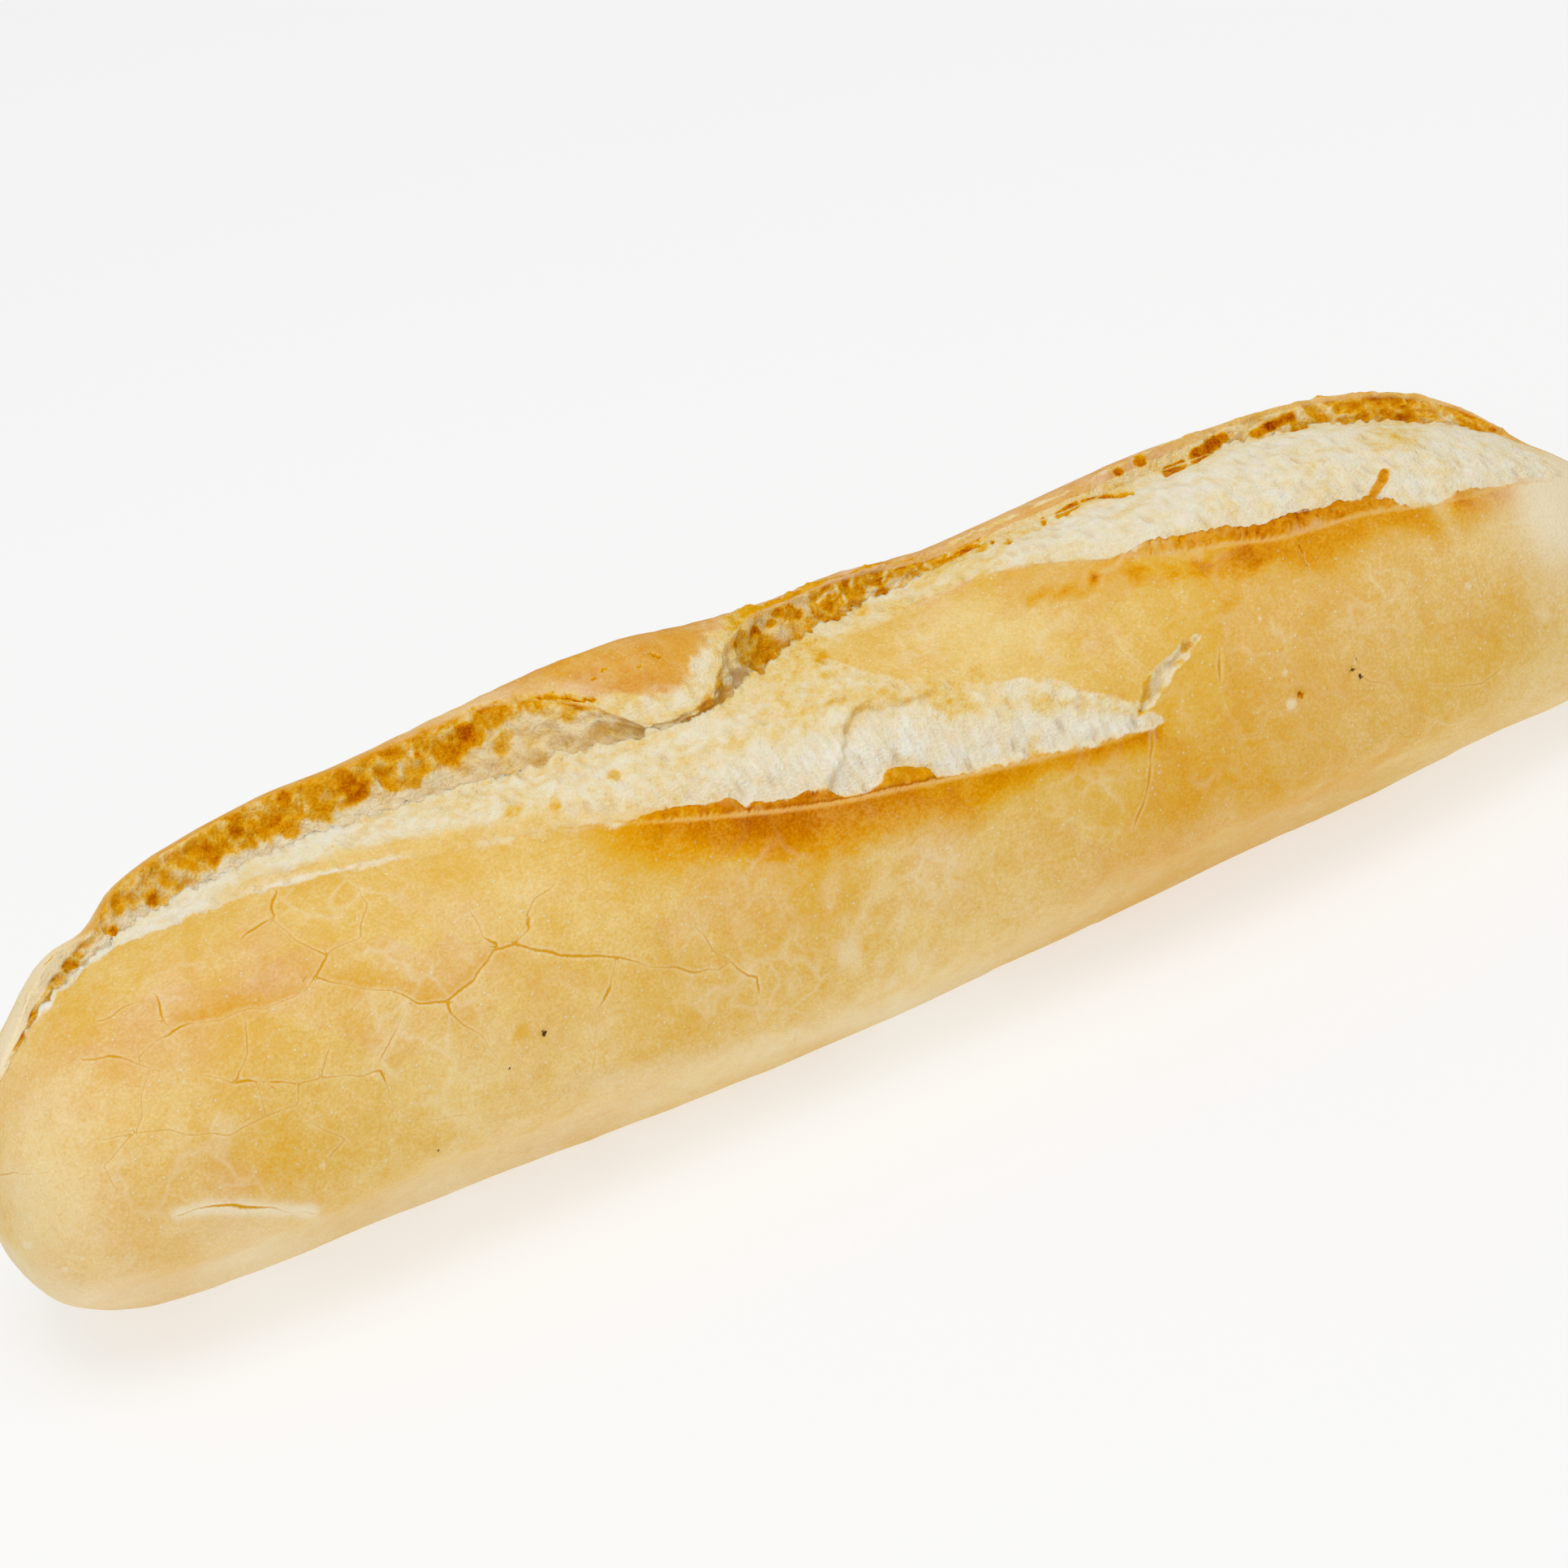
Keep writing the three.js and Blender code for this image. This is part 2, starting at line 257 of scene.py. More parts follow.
def ear_relief(x, angle, edge):
    """Height of the ear over the arch."""
    past = angle - edge - along(x, EAR_LEAN)
    share = np.clip(past / np.where(past < 0, EAR_FRONT_SPREAD, EAR_BACK_SPREAD), -1, 1)
    return along(x, EAR_RISE) * np.cos(share * np.pi / 2) ** 2


# ---- The opened cuts
# Two more slanting cuts opened in the oven. Below each is a raised rim of browned crust, and
# above it a bed of bared white bread, up to the crevice or to the strip of crust between them.
# Each rim's angle, the width of the bed above it, and the foot of the strip of crust
MIDDLE_RIM = [
    (-137, 84), (-122, 82), (-110, 83), (-98, 81), (-87, 79.5), (-74, 72), (-58, 62), (-50, 57.6),
    (-41, 52.5), (-28, 44), (-12, 35.6), (1, 31.1), (16, 26.2), (25, 23.6), (31, 21.7), (39, 20.5),
    (70, 20), (137, 20),
]
MIDDLE_WIDTH = [
    (-110, 6), (-60, 13), (-26, 15), (-5, 21), (5, 20), (12, 15), (27, 10.4), (34, 7.4), (39, 3),
]
RIGHT_RIM = [
    (-137, 88), (-110, 90), (-87, 87), (-58, 77), (-28, 66), (-12, 70), (1, 80), (7, 83), (14, 83),
    (22, 83.6), (28, 83), (38, 77.4), (48, 67.4), (56, 61.3), (63, 58.3), (71, 54.4), (78, 53.2),
    (86, 52.5), (94, 50.1), (102, 49.6), (110, 51.9), (115, 53.6), (137, 60),
]
RIGHT_WIDTH = [(27, 7.7), (46, 13.8), (62, 20), (76, 27), (93, 31), (114, 25)]
STRIP_FOOT = [(0, 82), (5, 68), (10, 58.7), (18, 50), (28, 42.6), (34, 35), (39, 26.4), (44, 18)]
MIDDLE_CUT = {"rim": MIDDLE_RIM, "width": MIDDLE_WIDTH, "start": -62, "stop": 40, "swell": 0.8}
RIGHT_CUT = {"rim": RIGHT_RIM, "width": RIGHT_WIDTH, "start": 22, "stop": 117, "swell": 1.7}
RIM_RISE = 1.3
RIM_REACH = 4
RIM_STEP = 3
RIM_DIP = 0.4


def above_rim(x, angle, cut):
    """Millimetres round the section above the cut's rim."""
    return (angle - along(x, cut["rim"])) * MM_PER_DEGREE


def cut_strength(x, cut):
    """1 in the middle of the cut, falling to 0 at its ends."""
    share = np.clip((x - cut["start"]) / (cut["stop"] - cut["start"]), 0, 1)
    return np.sin(np.pi * share) ** 0.6


def rim_step(x, above, cut):
    """Height above the rim, which steps down into the bed and recovers."""
    recovery = RIM_DIP * ease(RIM_STEP, along(x, cut["width"]) * 0.45, above)
    return mix(RIM_RISE, -RIM_DIP, ease(0, RIM_STEP, above)) + recovery


def cut_relief(x, angle, cut):
    """Height of an opened cut over the crust."""
    above = above_rim(x, angle, cut)
    width = along(x, cut["width"])
    crust = RIM_RISE * np.exp(np.minimum(above, 0) / RIM_REACH)
    bed = rim_step(x, above, cut) + cut["swell"] * np.sin(np.pi * np.clip(above / width, 0, 1))
    return cut_strength(x, cut) * np.where(above <= 0, crust, np.where(above > width, 0, bed))


def crust_relief(x, angle, edge):
    """Height of the front crust over the arch: its tuck above the base's edge, and the cuts."""
    share = np.clip((angle - TUCK_ANGLE) / TUCK_SPREAD, -1, 1)
    tuck = along(x, TUCK) * np.cos(share * np.pi / 2) ** 2 * ease(edge, edge + 12, angle)
    return tuck + cut_relief(x, angle, MIDDLE_CUT) + cut_relief(x, angle, RIGHT_CUT)


# ---- The skin's sheet
# The skin starts as a flat grid whose length is the loaf's and whose rows go once round the
# section. It is split finer where bread is torn, and then laid over the form.
COLUMNS = 176
STRETCHES = {
    "base_front": 5, "front": 58, "near_wall": 7, "far_wall": 8, "ear": 18, "back": 20, "base_back": 5,
}
ROWS = sum(STRETCHES.values())
EVEN_PART = 0.8  # share of the half length with even columns; they crowd towards the tips past it
BASE_VANISHES = 88.5  # past this angle the tapered arch ends above the table
MERGE = 0.000002  # metres within which the seam's and the tips' points become one


def station(column):
    """x in millimetres of a sheet column from -1 to 1."""
    slope = 2 / (1 + EVEN_PART)
    left = 1 - slope * EVEN_PART
    far = 1 - left * ((1 - np.abs(column)) / (1 - EVEN_PART)) ** 2
    share = np.where(np.abs(column) < EVEN_PART, slope * np.abs(column), far)
    return np.sign(column) * share * LENGTH / 2


def stretch_of(row):
    """For each stretch of rows by name, which points are on it and how far across it they are."""
    found = {}
    start = 0
    for name, count in STRETCHES.items():
        inside = (row >= start) & (row < start + count)
        if name == "base_back":
            inside = row >= start
        found[name] = (inside, (row - start) / count)
        start += count
    return found


def lay_over_form(column, row):
    """Places in millimetres of points of the sheet, and what the finer relief needs to know."""
    x = station(column)
    size = taper(x)
    open_here = np.clip(along(x, DEPTH) / 3, 0, 1)
    base_cut = along(x, BASE_CUT)
    front_edge = base_angle(size, base_cut)
    lip_wander = line_waves(x, 1.1, 1) * 0.55 + line_waves(x, 2.6, 2) * 0.5 + line_waves(x, 9, 3) * 0.5
    edge_wander = line_waves(x, 1.4, 4) * 0.5 + line_waves(x, 5.5, 5) * 0.7
    lip = along(x, NEAR_LIP) + open_here * LIP_TEETH * lip_wander / MM_PER_DEGREE
    edge = along(x, NEAR_LIP) + along(x, GAP) + open_here * EDGE_TEETH * edge_wander / MM_PER_DEGREE
    edge = np.maximum(edge, lip + 2)
    floor = mix(lip, edge, GAP_FLOOR)
    place = stretch_of(row)
    borders = (-90, front_edge, lip, floor, edge, EAR_BACK_ANGLE, 180 - front_edge, 270)
    angle = np.zeros_like(x)
    for (inside, share), low, high in zip(place.values(), borders[:-1], borders[1:]):
        angle = np.where(inside, mix(low, high, share), angle)

    far = np.where(place["ear"][0] | place["back"][0], ear_relief(x, angle, edge), 0)
    lift = np.where(place["front"][0], crust_relief(x, angle, front_edge), far)
    section = arch_pushed(angle, base_cut, lift)
    lip_point = arch_pushed(lip, base_cut, crust_relief(x, lip, front_edge))
    floor_point = arch_pushed(floor, base_cut, -along(x, DEPTH))
    edge_point = arch_pushed(edge, base_cut, ear_relief(x, edge, edge))
    for name, start, stop, bend in (
        ("near_wall", lip_point, floor_point, (1.4, 1)),
        ("far_wall", floor_point, edge_point, (1, 1.1)),
    ):
        inside, share = place[name]
        share = np.where(inside, share, 0)[:, None] ** np.array(bend)
        section = np.where(inside[:, None], mix(start, stop, share), section)

    y = size * section[:, 0] + along(x, BOW) - MIDDLE_Y
    z = TIP_HEIGHT + size * (section[:, 1] - TIP_HEIGHT)
    on_base = (place["base_front"][0] | place["base_back"][0]) & (np.abs(front_edge) < BASE_VANISHES)
    z = np.where(on_base, 0, np.maximum(z, 0))
    facts = {
        "x": x, "angle": angle, "size": size, "lip": lip, "edge": edge, "open": open_here,
        "stretch": place, "base": on_base, "above_middle": above_rim(x, angle, MIDDLE_CUT),
        "above_right": above_rim(x, angle, RIGHT_CUT),
    }
    return np.stack([x, y, z], axis=-1), facts


# ---- Cracks and marks on the front crust
# The dry skin crazed as the loaf cooled, tore open in two places, and carries a few dark specks
# and flecks of flour. Each is placed where the camera sees it, in pixels of its frame.
MAIN_CRACK = [
    (386, 1207), (427, 1215), (480, 1221), (515, 1236), (549, 1234), (564, 1223), (583, 1209),
    (595, 1186), (610, 1169), (633, 1166), (671, 1171), (706, 1179), (756, 1177), (802, 1192),
    (847, 1196), (886, 1198), (901, 1188), (920, 1203), (932, 1205), (934, 1219),
]
FOOT_TEAR = [(220, 1495), (260, 1487), (300, 1488), (385, 1493)]
STRIP_TEAR = [(1401, 885), (1420, 850), (1440, 820), (1475, 785)]
CRACKS = {
    "crown_left": [(339, 1096), (337, 1130), (298, 1157)],
    "crown_left_fork": [(337, 1134), (383, 1169), (400, 1176)],
    "crown_middle": [
        (436, 1081), (452, 1111), (444, 1142), (446, 1153), (406, 1172), (386, 1205), (371, 1222),
    ],
    "shoulder": [(847, 1106), (855, 1144), (878, 1167), (901, 1188)],
    "fork_up": [(679, 1091), (660, 1106), (648, 1125), (652, 1142), (633, 1165)],
    "fork_up_left": [(580, 1127), (595, 1156), (614, 1163)],
    "drop_right": [(756, 1179), (750, 1217), (736, 1244), (733, 1286), (733, 1316)],
    "drop_middle": [(551, 1236), (553, 1247), (572, 1263), (595, 1278), (614, 1305)],
    "drop_left": [(499, 1240), (484, 1274), (469, 1305)],
    "left_nick": [(191, 1226), (205, 1260)],
    "left_rise": [
        (172, 1303), (195, 1276), (222, 1270), (237, 1260), (268, 1257), (291, 1245), (325, 1245),
        (371, 1222),
    ],
    "left_long": [
        (103, 1306), (134, 1301), (165, 1308), (199, 1318), (245, 1322), (291, 1335), (318, 1333),
        (367, 1335), (406, 1327), (469, 1322),
    ],
    "left_drop": [(186, 1318), (176, 1356), (168, 1394), (142, 1421), (126, 1436), (145, 1467)],
    "left_link": [(302, 1257), (306, 1295), (293, 1333)],
    "middle_link": [(402, 1295), (398, 1325)],
    "square": [(318, 1337), (329, 1375), (367, 1362), (367, 1337)],
    "low_middle": [(469, 1325), (478, 1348), (490, 1375), (536, 1379), (570, 1375)],
    "low_left": [(367, 1368), (386, 1383), (425, 1402), (406, 1425)],
    "far_left": [(122, 1257), (165, 1238)],
    "left_end": [
        (0, 1448), (57, 1446), (80, 1425), (92, 1402), (126, 1404), (165, 1396), (214, 1396), (283, 1398),
        (333, 1375), (367, 1362),
    ],
    "foot": FOOT_TEAR,
    "strip": [(1368, 763), (1376, 795), (1413, 827)],
    "right_loop": [(1501, 800), (1506, 864), (1527, 906), (1551, 906), (1562, 885), (1599, 874)],
    "rim_end": [(1418, 901), (1421, 943), (1413, 975), (1397, 1023)],
    "right_hook": [(1673, 832), (1710, 843), (1731, 864), (1726, 890)],
    "right_end": [(1758, 843), (1790, 845), (1827, 840), (1853, 821)],
}
# Where the fine cracks gape, and where the main one almost closes: place and reach
GAPING = [
    (290, 1487, 55), (1421, 960, 26), (1406, 1000, 22), (337, 1112, 24), (316, 1146, 26), (392, 1188, 24),
    (199, 1243, 22), (218, 1268, 22), (612, 1162, 20), (655, 1135, 18), (140, 1304, 16), (556, 1242, 14),
    (1511, 823, 22), (1420, 920, 24), (748, 1225, 16), (300, 1334, 20), (471, 1325, 14), (340, 1338, 12),
]
CLOSED = [(450, 1221, 60), (800, 1190, 26), (886, 1196, 40)]
SPECKS = [
    (671, 1274, 6), (677, 1280, 4), (1666, 826, 7), (1677, 834, 4), (1673, 812, 3), (506, 1422, 2),
    (541, 1418, 2), (630, 1317, 2), (592, 1328, 1.5),
]
FLECKS = [
    (33, 1535, 6), (80, 1565, 4), (101, 1551, 4), (397, 1436, 5), (148, 1452, 5), (1810, 722, 4),
    (1716, 738, 3), (1590, 868, 6), (1583, 829, 5), (1553, 762, 3),
]
# Thin browned lines: at the strip of crust, and standing up from the right rim
STRIP_LINE = [(1262, 739), (1290, 732), (1330, 727), (1349, 718), (1352, 704)]
RIM_SPIKE = [(1685, 622), (1693, 607), (1702, 594), (1706, 584)]
# Small browner patches of crust: place, reach, and how much browner
BROWNED = [
    (1012, 810, 11, 0.3), (1350, 712, 8, 0.2), (1400, 705, 12, 0.22), (1446, 707, 12, 0.2),
    (1476, 700, 15, 0.22), (1532, 692, 26, 0.2), (1516, 738, 13, 0.16), (1200, 830, 12, 0.12),
    (1040, 822, 10, 0.1), (1843, 600, 22, 0.14), (1805, 612, 16, 0.14), (132, 1345, 7, 0.12),
    (641, 1269, 6, 0.14),
]
# Rosier plates of crust: place and reach
ROSY = [(215, 1288, 70), (330, 1185, 60), (150, 1280, 45), (560, 1130, 40)]
# Broad blushes of browner or paler crust: place, reach, and how much browner
BLUSHES = [
    (365, 1408, 42, 0.09), (230, 1215, 110, -0.02), (1000, 1075, 130, 0.06), (800, 1090, 160, 0.04),
    (600, 1260, 120, -0.02), (700, 1350, 130, -0.08), (1240, 1060, 110, -0.05), (60, 1480, 90, -0.08),
    (150, 1540, 90, 0.03), (1560, 860, 160, 0.07), (1450, 1010, 170, 0.06), (1250, 770, 90, -0.03),
    (1150, 745, 45, -0.1), (1120, 1210, 140, -0.07), (330, 1400, 90, 0.03), (1850, 800, 60, 0.07),
    (980, 1090, 110, 0.09), (1700, 820, 200, 0.02), (1500, 960, 160, 0.03), (340, 1480, 90, 0.04),
    (1400, 1080, 120, 0.05),
]
CREASE = [(700, 1335), (800, 1322), (900, 1298), (1000, 1272), (1100, 1243), (1210, 1205)]
# Where the tear in the strip is widest: how far down, and over what reach
TEAR_WIDEST = (836, 46)
# Oval patches: place, and reach across and down
FLOUR_PATCH = (290, 1512, 93.5, 55)
# The pale right end is a painted highlight, where the light catches the end of the loaf
RIGHT_END_HIGHLIGHT = (1950, 610, 80, 90)
STREAKED = (1040, 1190, 150, 120)
TOASTED_TOP = (1718, 536, 44.8, 28)
# The pale streaks' slant, and their size across and along
STREAK_SLANT = ((0.87, 0.5), (-0.5, 0.87))
STREAK_SIZE = (9, 50)
PIXELS_PER_MM = 8.4


def line_side(spots, line):
    """Pixels from a line of straight stretches, negative on its right-hand side."""
    line = np.array(line, float)
    nearest = np.full(len(spots), 1e9)
    for start, stop in zip(line[:-1], line[1:]):
        reach = stop - start
        share = np.clip((spots - start) @ reach / (reach @ reach), 0, 1)
        gap = spots - start - share[:, None] * reach
        side = np.where(reach[0] * gap[:, 1] - reach[1] * gap[:, 0] < 0, -1, 1)
        far = np.linalg.norm(gap, axis=-1)
        nearest = np.where(far < np.abs(nearest), side * far, nearest)
    return nearest


def line_gap(spots, line):
    """Millimetres from the line, whichever the side."""
    return np.abs(line_side(spots, line)) / PIXELS_PER_MM


def crack_side(spots, points, lines):
    """Millimetres from the nearest of the lines, which wander a little, negative on its right."""
    wander = np.stack([waves(points, 2.5, 21), waves(points, 2.5, 22)], axis=-1) * 4
    nearest = np.full(len(spots), 1e9)
    for line in lines:
        side = line_side(spots + wander, line)
        nearest = np.where(np.abs(side) < np.abs(nearest), side, nearest)
    return nearest / PIXELS_PER_MM


def bump(distance, reach):
    """1 at no distance, falling away softly over the reach."""
    return np.exp(-((distance / reach) ** 2))


def spot_gap(spots, across, down):
    """Pixels from one place in the frame."""
    return np.hypot(spots[:, 0] - across, spots[:, 1] - down)


def near_spot(spots, across, down, reach):
    """1 at the place, falling away softly over its reach."""
    return bump(spot_gap(spots, across, down), reach)


def near_oval(spots, across, down, wide, high):
    """1 at the place, falling away softly over its reaches."""
    return bump(np.hypot((spots[:, 0] - across) / wide, (spots[:, 1] - down) / high), 1)


def in_marks(spots, marks, rag):
    """1 inside the round marks (across, down, reach), falling to 0 over their ragged edges."""
    found = np.zeros(len(spots))
    for across, down, reach in marks:
        found = np.maximum(found, ease(1.25, 0.5, spot_gap(spots, across, down) / reach + rag * 0.8))
    return found


def near_lines(spots, lines, rag):
    """1 along the lines, each with its own half width, falling to 0 over their ragged edges."""
    found = np.zeros(len(spots))
    for half_width, line in lines:
        found = np.maximum(found, ease(1.25, 0.5, line_gap(spots, line) / half_width + rag * 0.4))
    return found


# ---- Torn edges, holes and pockets
# Where dough tears in the oven it leaves ragged borders, holes and crags, which brown first; the
# holes and slits are also painted darker, as shade in their depth. The lists with x first run along
# the loaf in millimetres, and the rest are in the camera's pixels.

# Thickness of the browned torn edge above each rim's ridge; at the left end, of plain crust
MIDDLE_EDGE = [
    (-137, 4.5), (-122, 5.4), (-110, 4.8), (-98, 2.1), (-87, 0.5), (-74, 0.1), (-46, 0.1), (-38, 0.4),
    (-34, 1.3), (-29, 1.5), (-24, 1.8), (-22.4, 1.6), (-21.5, 0.8), (-20, 1.5), (-15, 1.3), (-12, 1.8),
    (-9.6, 1.6), (-8, 0.7), (-5, 0.9), (-2, 1.1), (-0.5, 2.3), (4.8, 2), (6.2, 0.5), (18, 0.5), (26, 0.3),
    (44, 0.3),
]
RIGHT_EDGE = [
    (22, 0.1), (46, 0.3), (49, 1), (52, 1.9), (68, 2.6), (80, 3.2), (86, 3), (89, 2.4), (91.5, 0.9),
    (97, 0.3), (101, 1.2), (105, 1), (109, 0.2), (113, 0.9), (117, 1.2),
]
# How far the ear is torn bread past its edge, and how toasted that is
EAR_BARE = [
    (-137, 0.1), (-38, 0.3), (-33, 1.5), (-27, 4.8), (-18, 4.4), (-12, 3.7), (-7, 3.5), (-2, 4.4),
    (4, 2.8), (20, 2), (30, 1), (70, 0.6), (80, 0.3), (137, 0.1),
]
EAR_TOAST = [
    (-137, 0.5), (-36, 0.5), (-30, 0.34), (-14, 0.28), (-8, 0.42), (2, 0.6), (25, 0.62), (31, 0.36),
    (72, 0.4), (80, 0.6), (137, 0.5),
]
# Share of the far wall, at its top, that is the crust's own edge
CRUST_EDGE = [
    (-137, 0.45), (-121, 0.36), (-116, 0.3), (-112, 0.15), (-109, 0.02), (-60, 0.01), (-36, 0.01),
    (5, 0.02), (14, 0.05), (26, 0.14), (34, 0.34), (62, 0.38), (76, 0.24), (84, 0.1), (118, 0.14),
    (137, 0.3),
]
# Down to this line the crevice's far wall is toasted golden; below it the crumb stayed pale
GOLD_FOOT = [
    (0, 1335), (20, 1296), (40, 1270), (60, 1244), (80, 1212), (103, 1172), (132, 1150), (150, 1135),
    (170, 1120), (200, 1106), (227, 1097), (253, 1080), (267, 1066), (293, 1052), (323, 1042),
    (350, 1034), (367, 1026), (380, 1014), (400, 1005), (423, 998), (440, 990), (457, 963), (465, 953),
    (473, 973), (490, 985), (515, 970), (523, 955), (535, 945), (555, 945), (570, 935), (591, 916),
    (599, 903), (620, 898), (640, 889), (661, 882), (700, 880), (735, 880), (760, 872), (765, 840),
    (890, 722), (940, 704), (950, 716), (990, 720), (1004, 752), (1014, 795), (1204, 800), (1212, 500),
    (1588, 490), (1596, 600),
]
# Patches of the crevice: place and reach, how toasted and how shaded
POCKETS = [
    (620, 920, 12, 0.55, 0.1), (571, 903, 13, 0.82, 0), (560, 925, 10, 0.7, 0), (437, 975, 17, 0.78, 0),
    (140, 1148, 7, 0.76, 0), (188, 1108, 8, 0.76, 0), (293, 1022, 11, 0.76, 0), (350, 983, 10, 0.76, 0),
    (513, 930, 6, 0.76, 0), (604, 885, 12, 0.58, 0), (625, 900, 14, 0.3, 0), (648, 893, 10, 0.28, 0),
    (622, 905, 7, 0.5, 0.1), (683, 911, 13, 0.3, 0.4), (700, 880, 9, 0.5, 0), (746, 877, 8, 0.5, 0.6),
    (765, 897, 13, 0.46, 0.7), (785, 903, 9, 0.46, 0.7), (826, 898, 5, 0.66, 0.3),
    (852, 890, 9, 0.66, 0.2), (870, 866, 15, 0.66, 0.2), (886, 842, 14, 0.52, 0), (911, 838, 17, 0.3, 0),
    (940, 806, 17, 0.66, 0), (919, 812, 9, 0.5, 0), (968, 786, 13, 0.3, 0), (1001, 768, 14, 0.52, 0),
    (1021, 747, 8, 0.76, 0), (1016, 722, 7, 0.72, 0), (1041, 722, 8, 0.72, 0), (1108, 698, 10, 0.74, 0),
    (1126, 690, 8, 0.74, 0), (1060, 745, 12, 0.58, 0.2), (1073, 729, 8, 0.32, 0), (1101, 719, 8, 0.32, 0),
    (1085, 738, 8, 0.6, 0.2),
]
WALL_THREADS = [
    [(1008, 742), (1018, 731), (1030, 727), (1040, 734), (1044, 754)], [(1028, 710), (1031, 728)],
    [(1054, 700), (1048, 722)], [(1092, 694), (1089, 716)], [(1067, 736), (1082, 725)],
    [(1091, 722), (1113, 714)], [(1136, 684), (1141, 694), (1149, 703)], [(1168, 680), (1171, 690)],
]
WALL_THREAD_WIDTH = 0.26
# Holes and slits are painted brown: partly toasted crumb, partly painted shade in their depth
HOLES = [
    (822, 1000, 4), (1603, 856, 4), (960, 755, 7), (952, 767, 6), (973, 748, 6), (985, 756, 7),
    (931, 776, 8), (907, 793, 4), (1377, 581, 6), (1403, 567, 8), (1285, 641, 4), (1243, 666, 5),
    (1223, 668, 4),
]
# Slits: half width in millimetres, and line
SLITS = [
    (0.4, [(801, 804), (812, 808)]), (0.35, [(739, 826), (748, 822)]), (0.3, [(781, 820), (790, 819)]),
    (0.3, [(726, 836), (732, 836)]), (0.35, [(664, 860), (690, 858), (710, 862), (733, 861)]),
    (0.6, [(1304, 634), (1327, 621)]), (0.3, [(1332, 618), (1360, 611), (1396, 607)]),
    (0.7, [(1437, 580), (1456, 571)]), (1.1, [(1472, 560), (1488, 552), (1505, 541)]),
    (1.0, [(1545, 535), (1566, 524), (1590, 514)]), (0.5, [(1150, 694), (1170, 689), (1198, 673)]),
    (0.3, [(1601, 669), (1606, 684), (1612, 701)]),
]
# Toasted dots on the bared bread, and the long fold in the middle bed with its short branch
TOASTED_DOTS = [
    (756, 955, 9), (685, 988, 9), (632, 998, 8), (808, 1003, 8), (1275, 923, 14), (1012, 810, 11),
    (1115, 950, 17), (1138, 953, 12), (1243, 668, 6), (1208, 672, 8), (850, 880, 5), (765, 893, 12),
]
BED_FOLD = [
    (1025, 966), (1038, 932), (1043, 900), (1051, 884), (1066, 873), (1088, 870), (1112, 866),
    (1134, 859),
]
BED_FOLD_LEFT = [(1015, 884), (1018, 867), (1040, 862)]
# Where each rim shows, along x: it starts, is full, fades and stops
MIDDLE_RIM_SHOWN = (-56, -34, 38, 44)
RIGHT_RIM_SHOWN = (2, 24, 112, 121)
NOTCH_X = 97
NOTCH_REACH = 1.6
# The skin is split finer as far as this x, round each mark, and up the ear to this many degrees
TORN_END = 133
MARK_MARGIN = 9
EAR_SEEN = 34


# ---- The skin: crust and bared bread
# The whole surface is one piece, as dough is: the sheet is split finer where it is torn or marked,
# laid over the form, given its fine relief and its tints, and closed at its seam and tips.
def refine(sheet, wanted):
    """Splits in four each face whose middle passes the test."""
    mesh = sheet.data
    middles = np.zeros(len(mesh.polygons) * 3)
    mesh.polygons.foreach_get("center", middles)
    middles = middles.reshape(-1, 3)
    chosen = wanted(middles[:, 0], middles[:, 1])
    mesh.vertices.foreach_set("select", np.zeros(len(mesh.vertices), bool))
    mesh.edges.foreach_set("select", np.zeros(len(mesh.edges), bool))
    mesh.polygons.foreach_set("select", chosen)
    bpy.ops.object.mode_set(mode="EDIT")
    bpy.ops.mesh.subdivide(number_cuts=1)
    bpy.ops.object.mode_set(mode="OBJECT")


def is_torn(column, row):
    """Faces of bared bread, its rims and lips, and the crevice's walls."""
    _, facts = lay_over_form(column, row)
    x, angle, place = facts["x"], facts["angle"], facts["stretch"]
    below_strip = (x < 1) | (angle < along(x, STRIP_FOOT) + 3)
    middle_bed = (facts["above_middle"] > -1.6) & below_strip & (x > -126) & (x < 43)
    right_bed = (facts["above_right"] > -1.2) & (x > -2) & (x < 124)
    front = place["front"][0]
    lips = front & (angle > facts["lip"] - 3)
    inside = place["near_wall"][0] | place["far_wall"][0]
    ear_edge = place["ear"][0] & (angle < facts["edge"] + 3 + along(x, EAR_BARE) * 1.6)
    return (front & (middle_bed | right_bed) | lips | inside | ear_edge) & (np.abs(x) < TORN_END)


def is_holed(spots, facts):
    """Faces round the small holes, slits and specks."""
    gap = np.full(len(spots), 1e9)
    for across, down, reach in HOLES + SPECKS + FLECKS:
        gap = np.minimum(gap, spot_gap(spots, across, down) - reach)
    for half_width, line in SLITS:
        gap = np.minimum(gap, np.abs(line_side(spots, line)) - half_width * PIXELS_PER_MM)
    return (gap < MARK_MARGIN) & ~facts["base"] & (facts["angle"] < facts["edge"] + EAR_SEEN)


def is_marked(column, row):
    """Faces that a crack, a tear or a speck crosses."""
    points, facts = lay_over_form(column, row)
    spots = seen_at(points)
    cracks = np.abs(crack_side(spots, points, [MAIN_CRACK, *CRACKS.values()]))
    tears = np.minimum(line_gap(spots, STRIP_TEAR), line_gap(spots, FOOT_TEAR))
    return ((cracks < 0.9) | (tears < 2.2)) & facts["stretch"]["front"][0] | is_holed(spots, facts)


def fine_only(column, row):
    """Torn faces that show, and marks: the near wall leans away and stays coarser."""
    _, facts = lay_over_form(column, row)
    inside, share = facts["stretch"]["near_wall"]
    return is_torn(column, row) & ~(inside & (share > 0.3)) | is_marked(column, row)


def within(x, start, full, fading, stop):
    """1 from full to fading, easing to 0 at start and stop."""
    return ease(start, full, x) * ease(stop, fading, x)


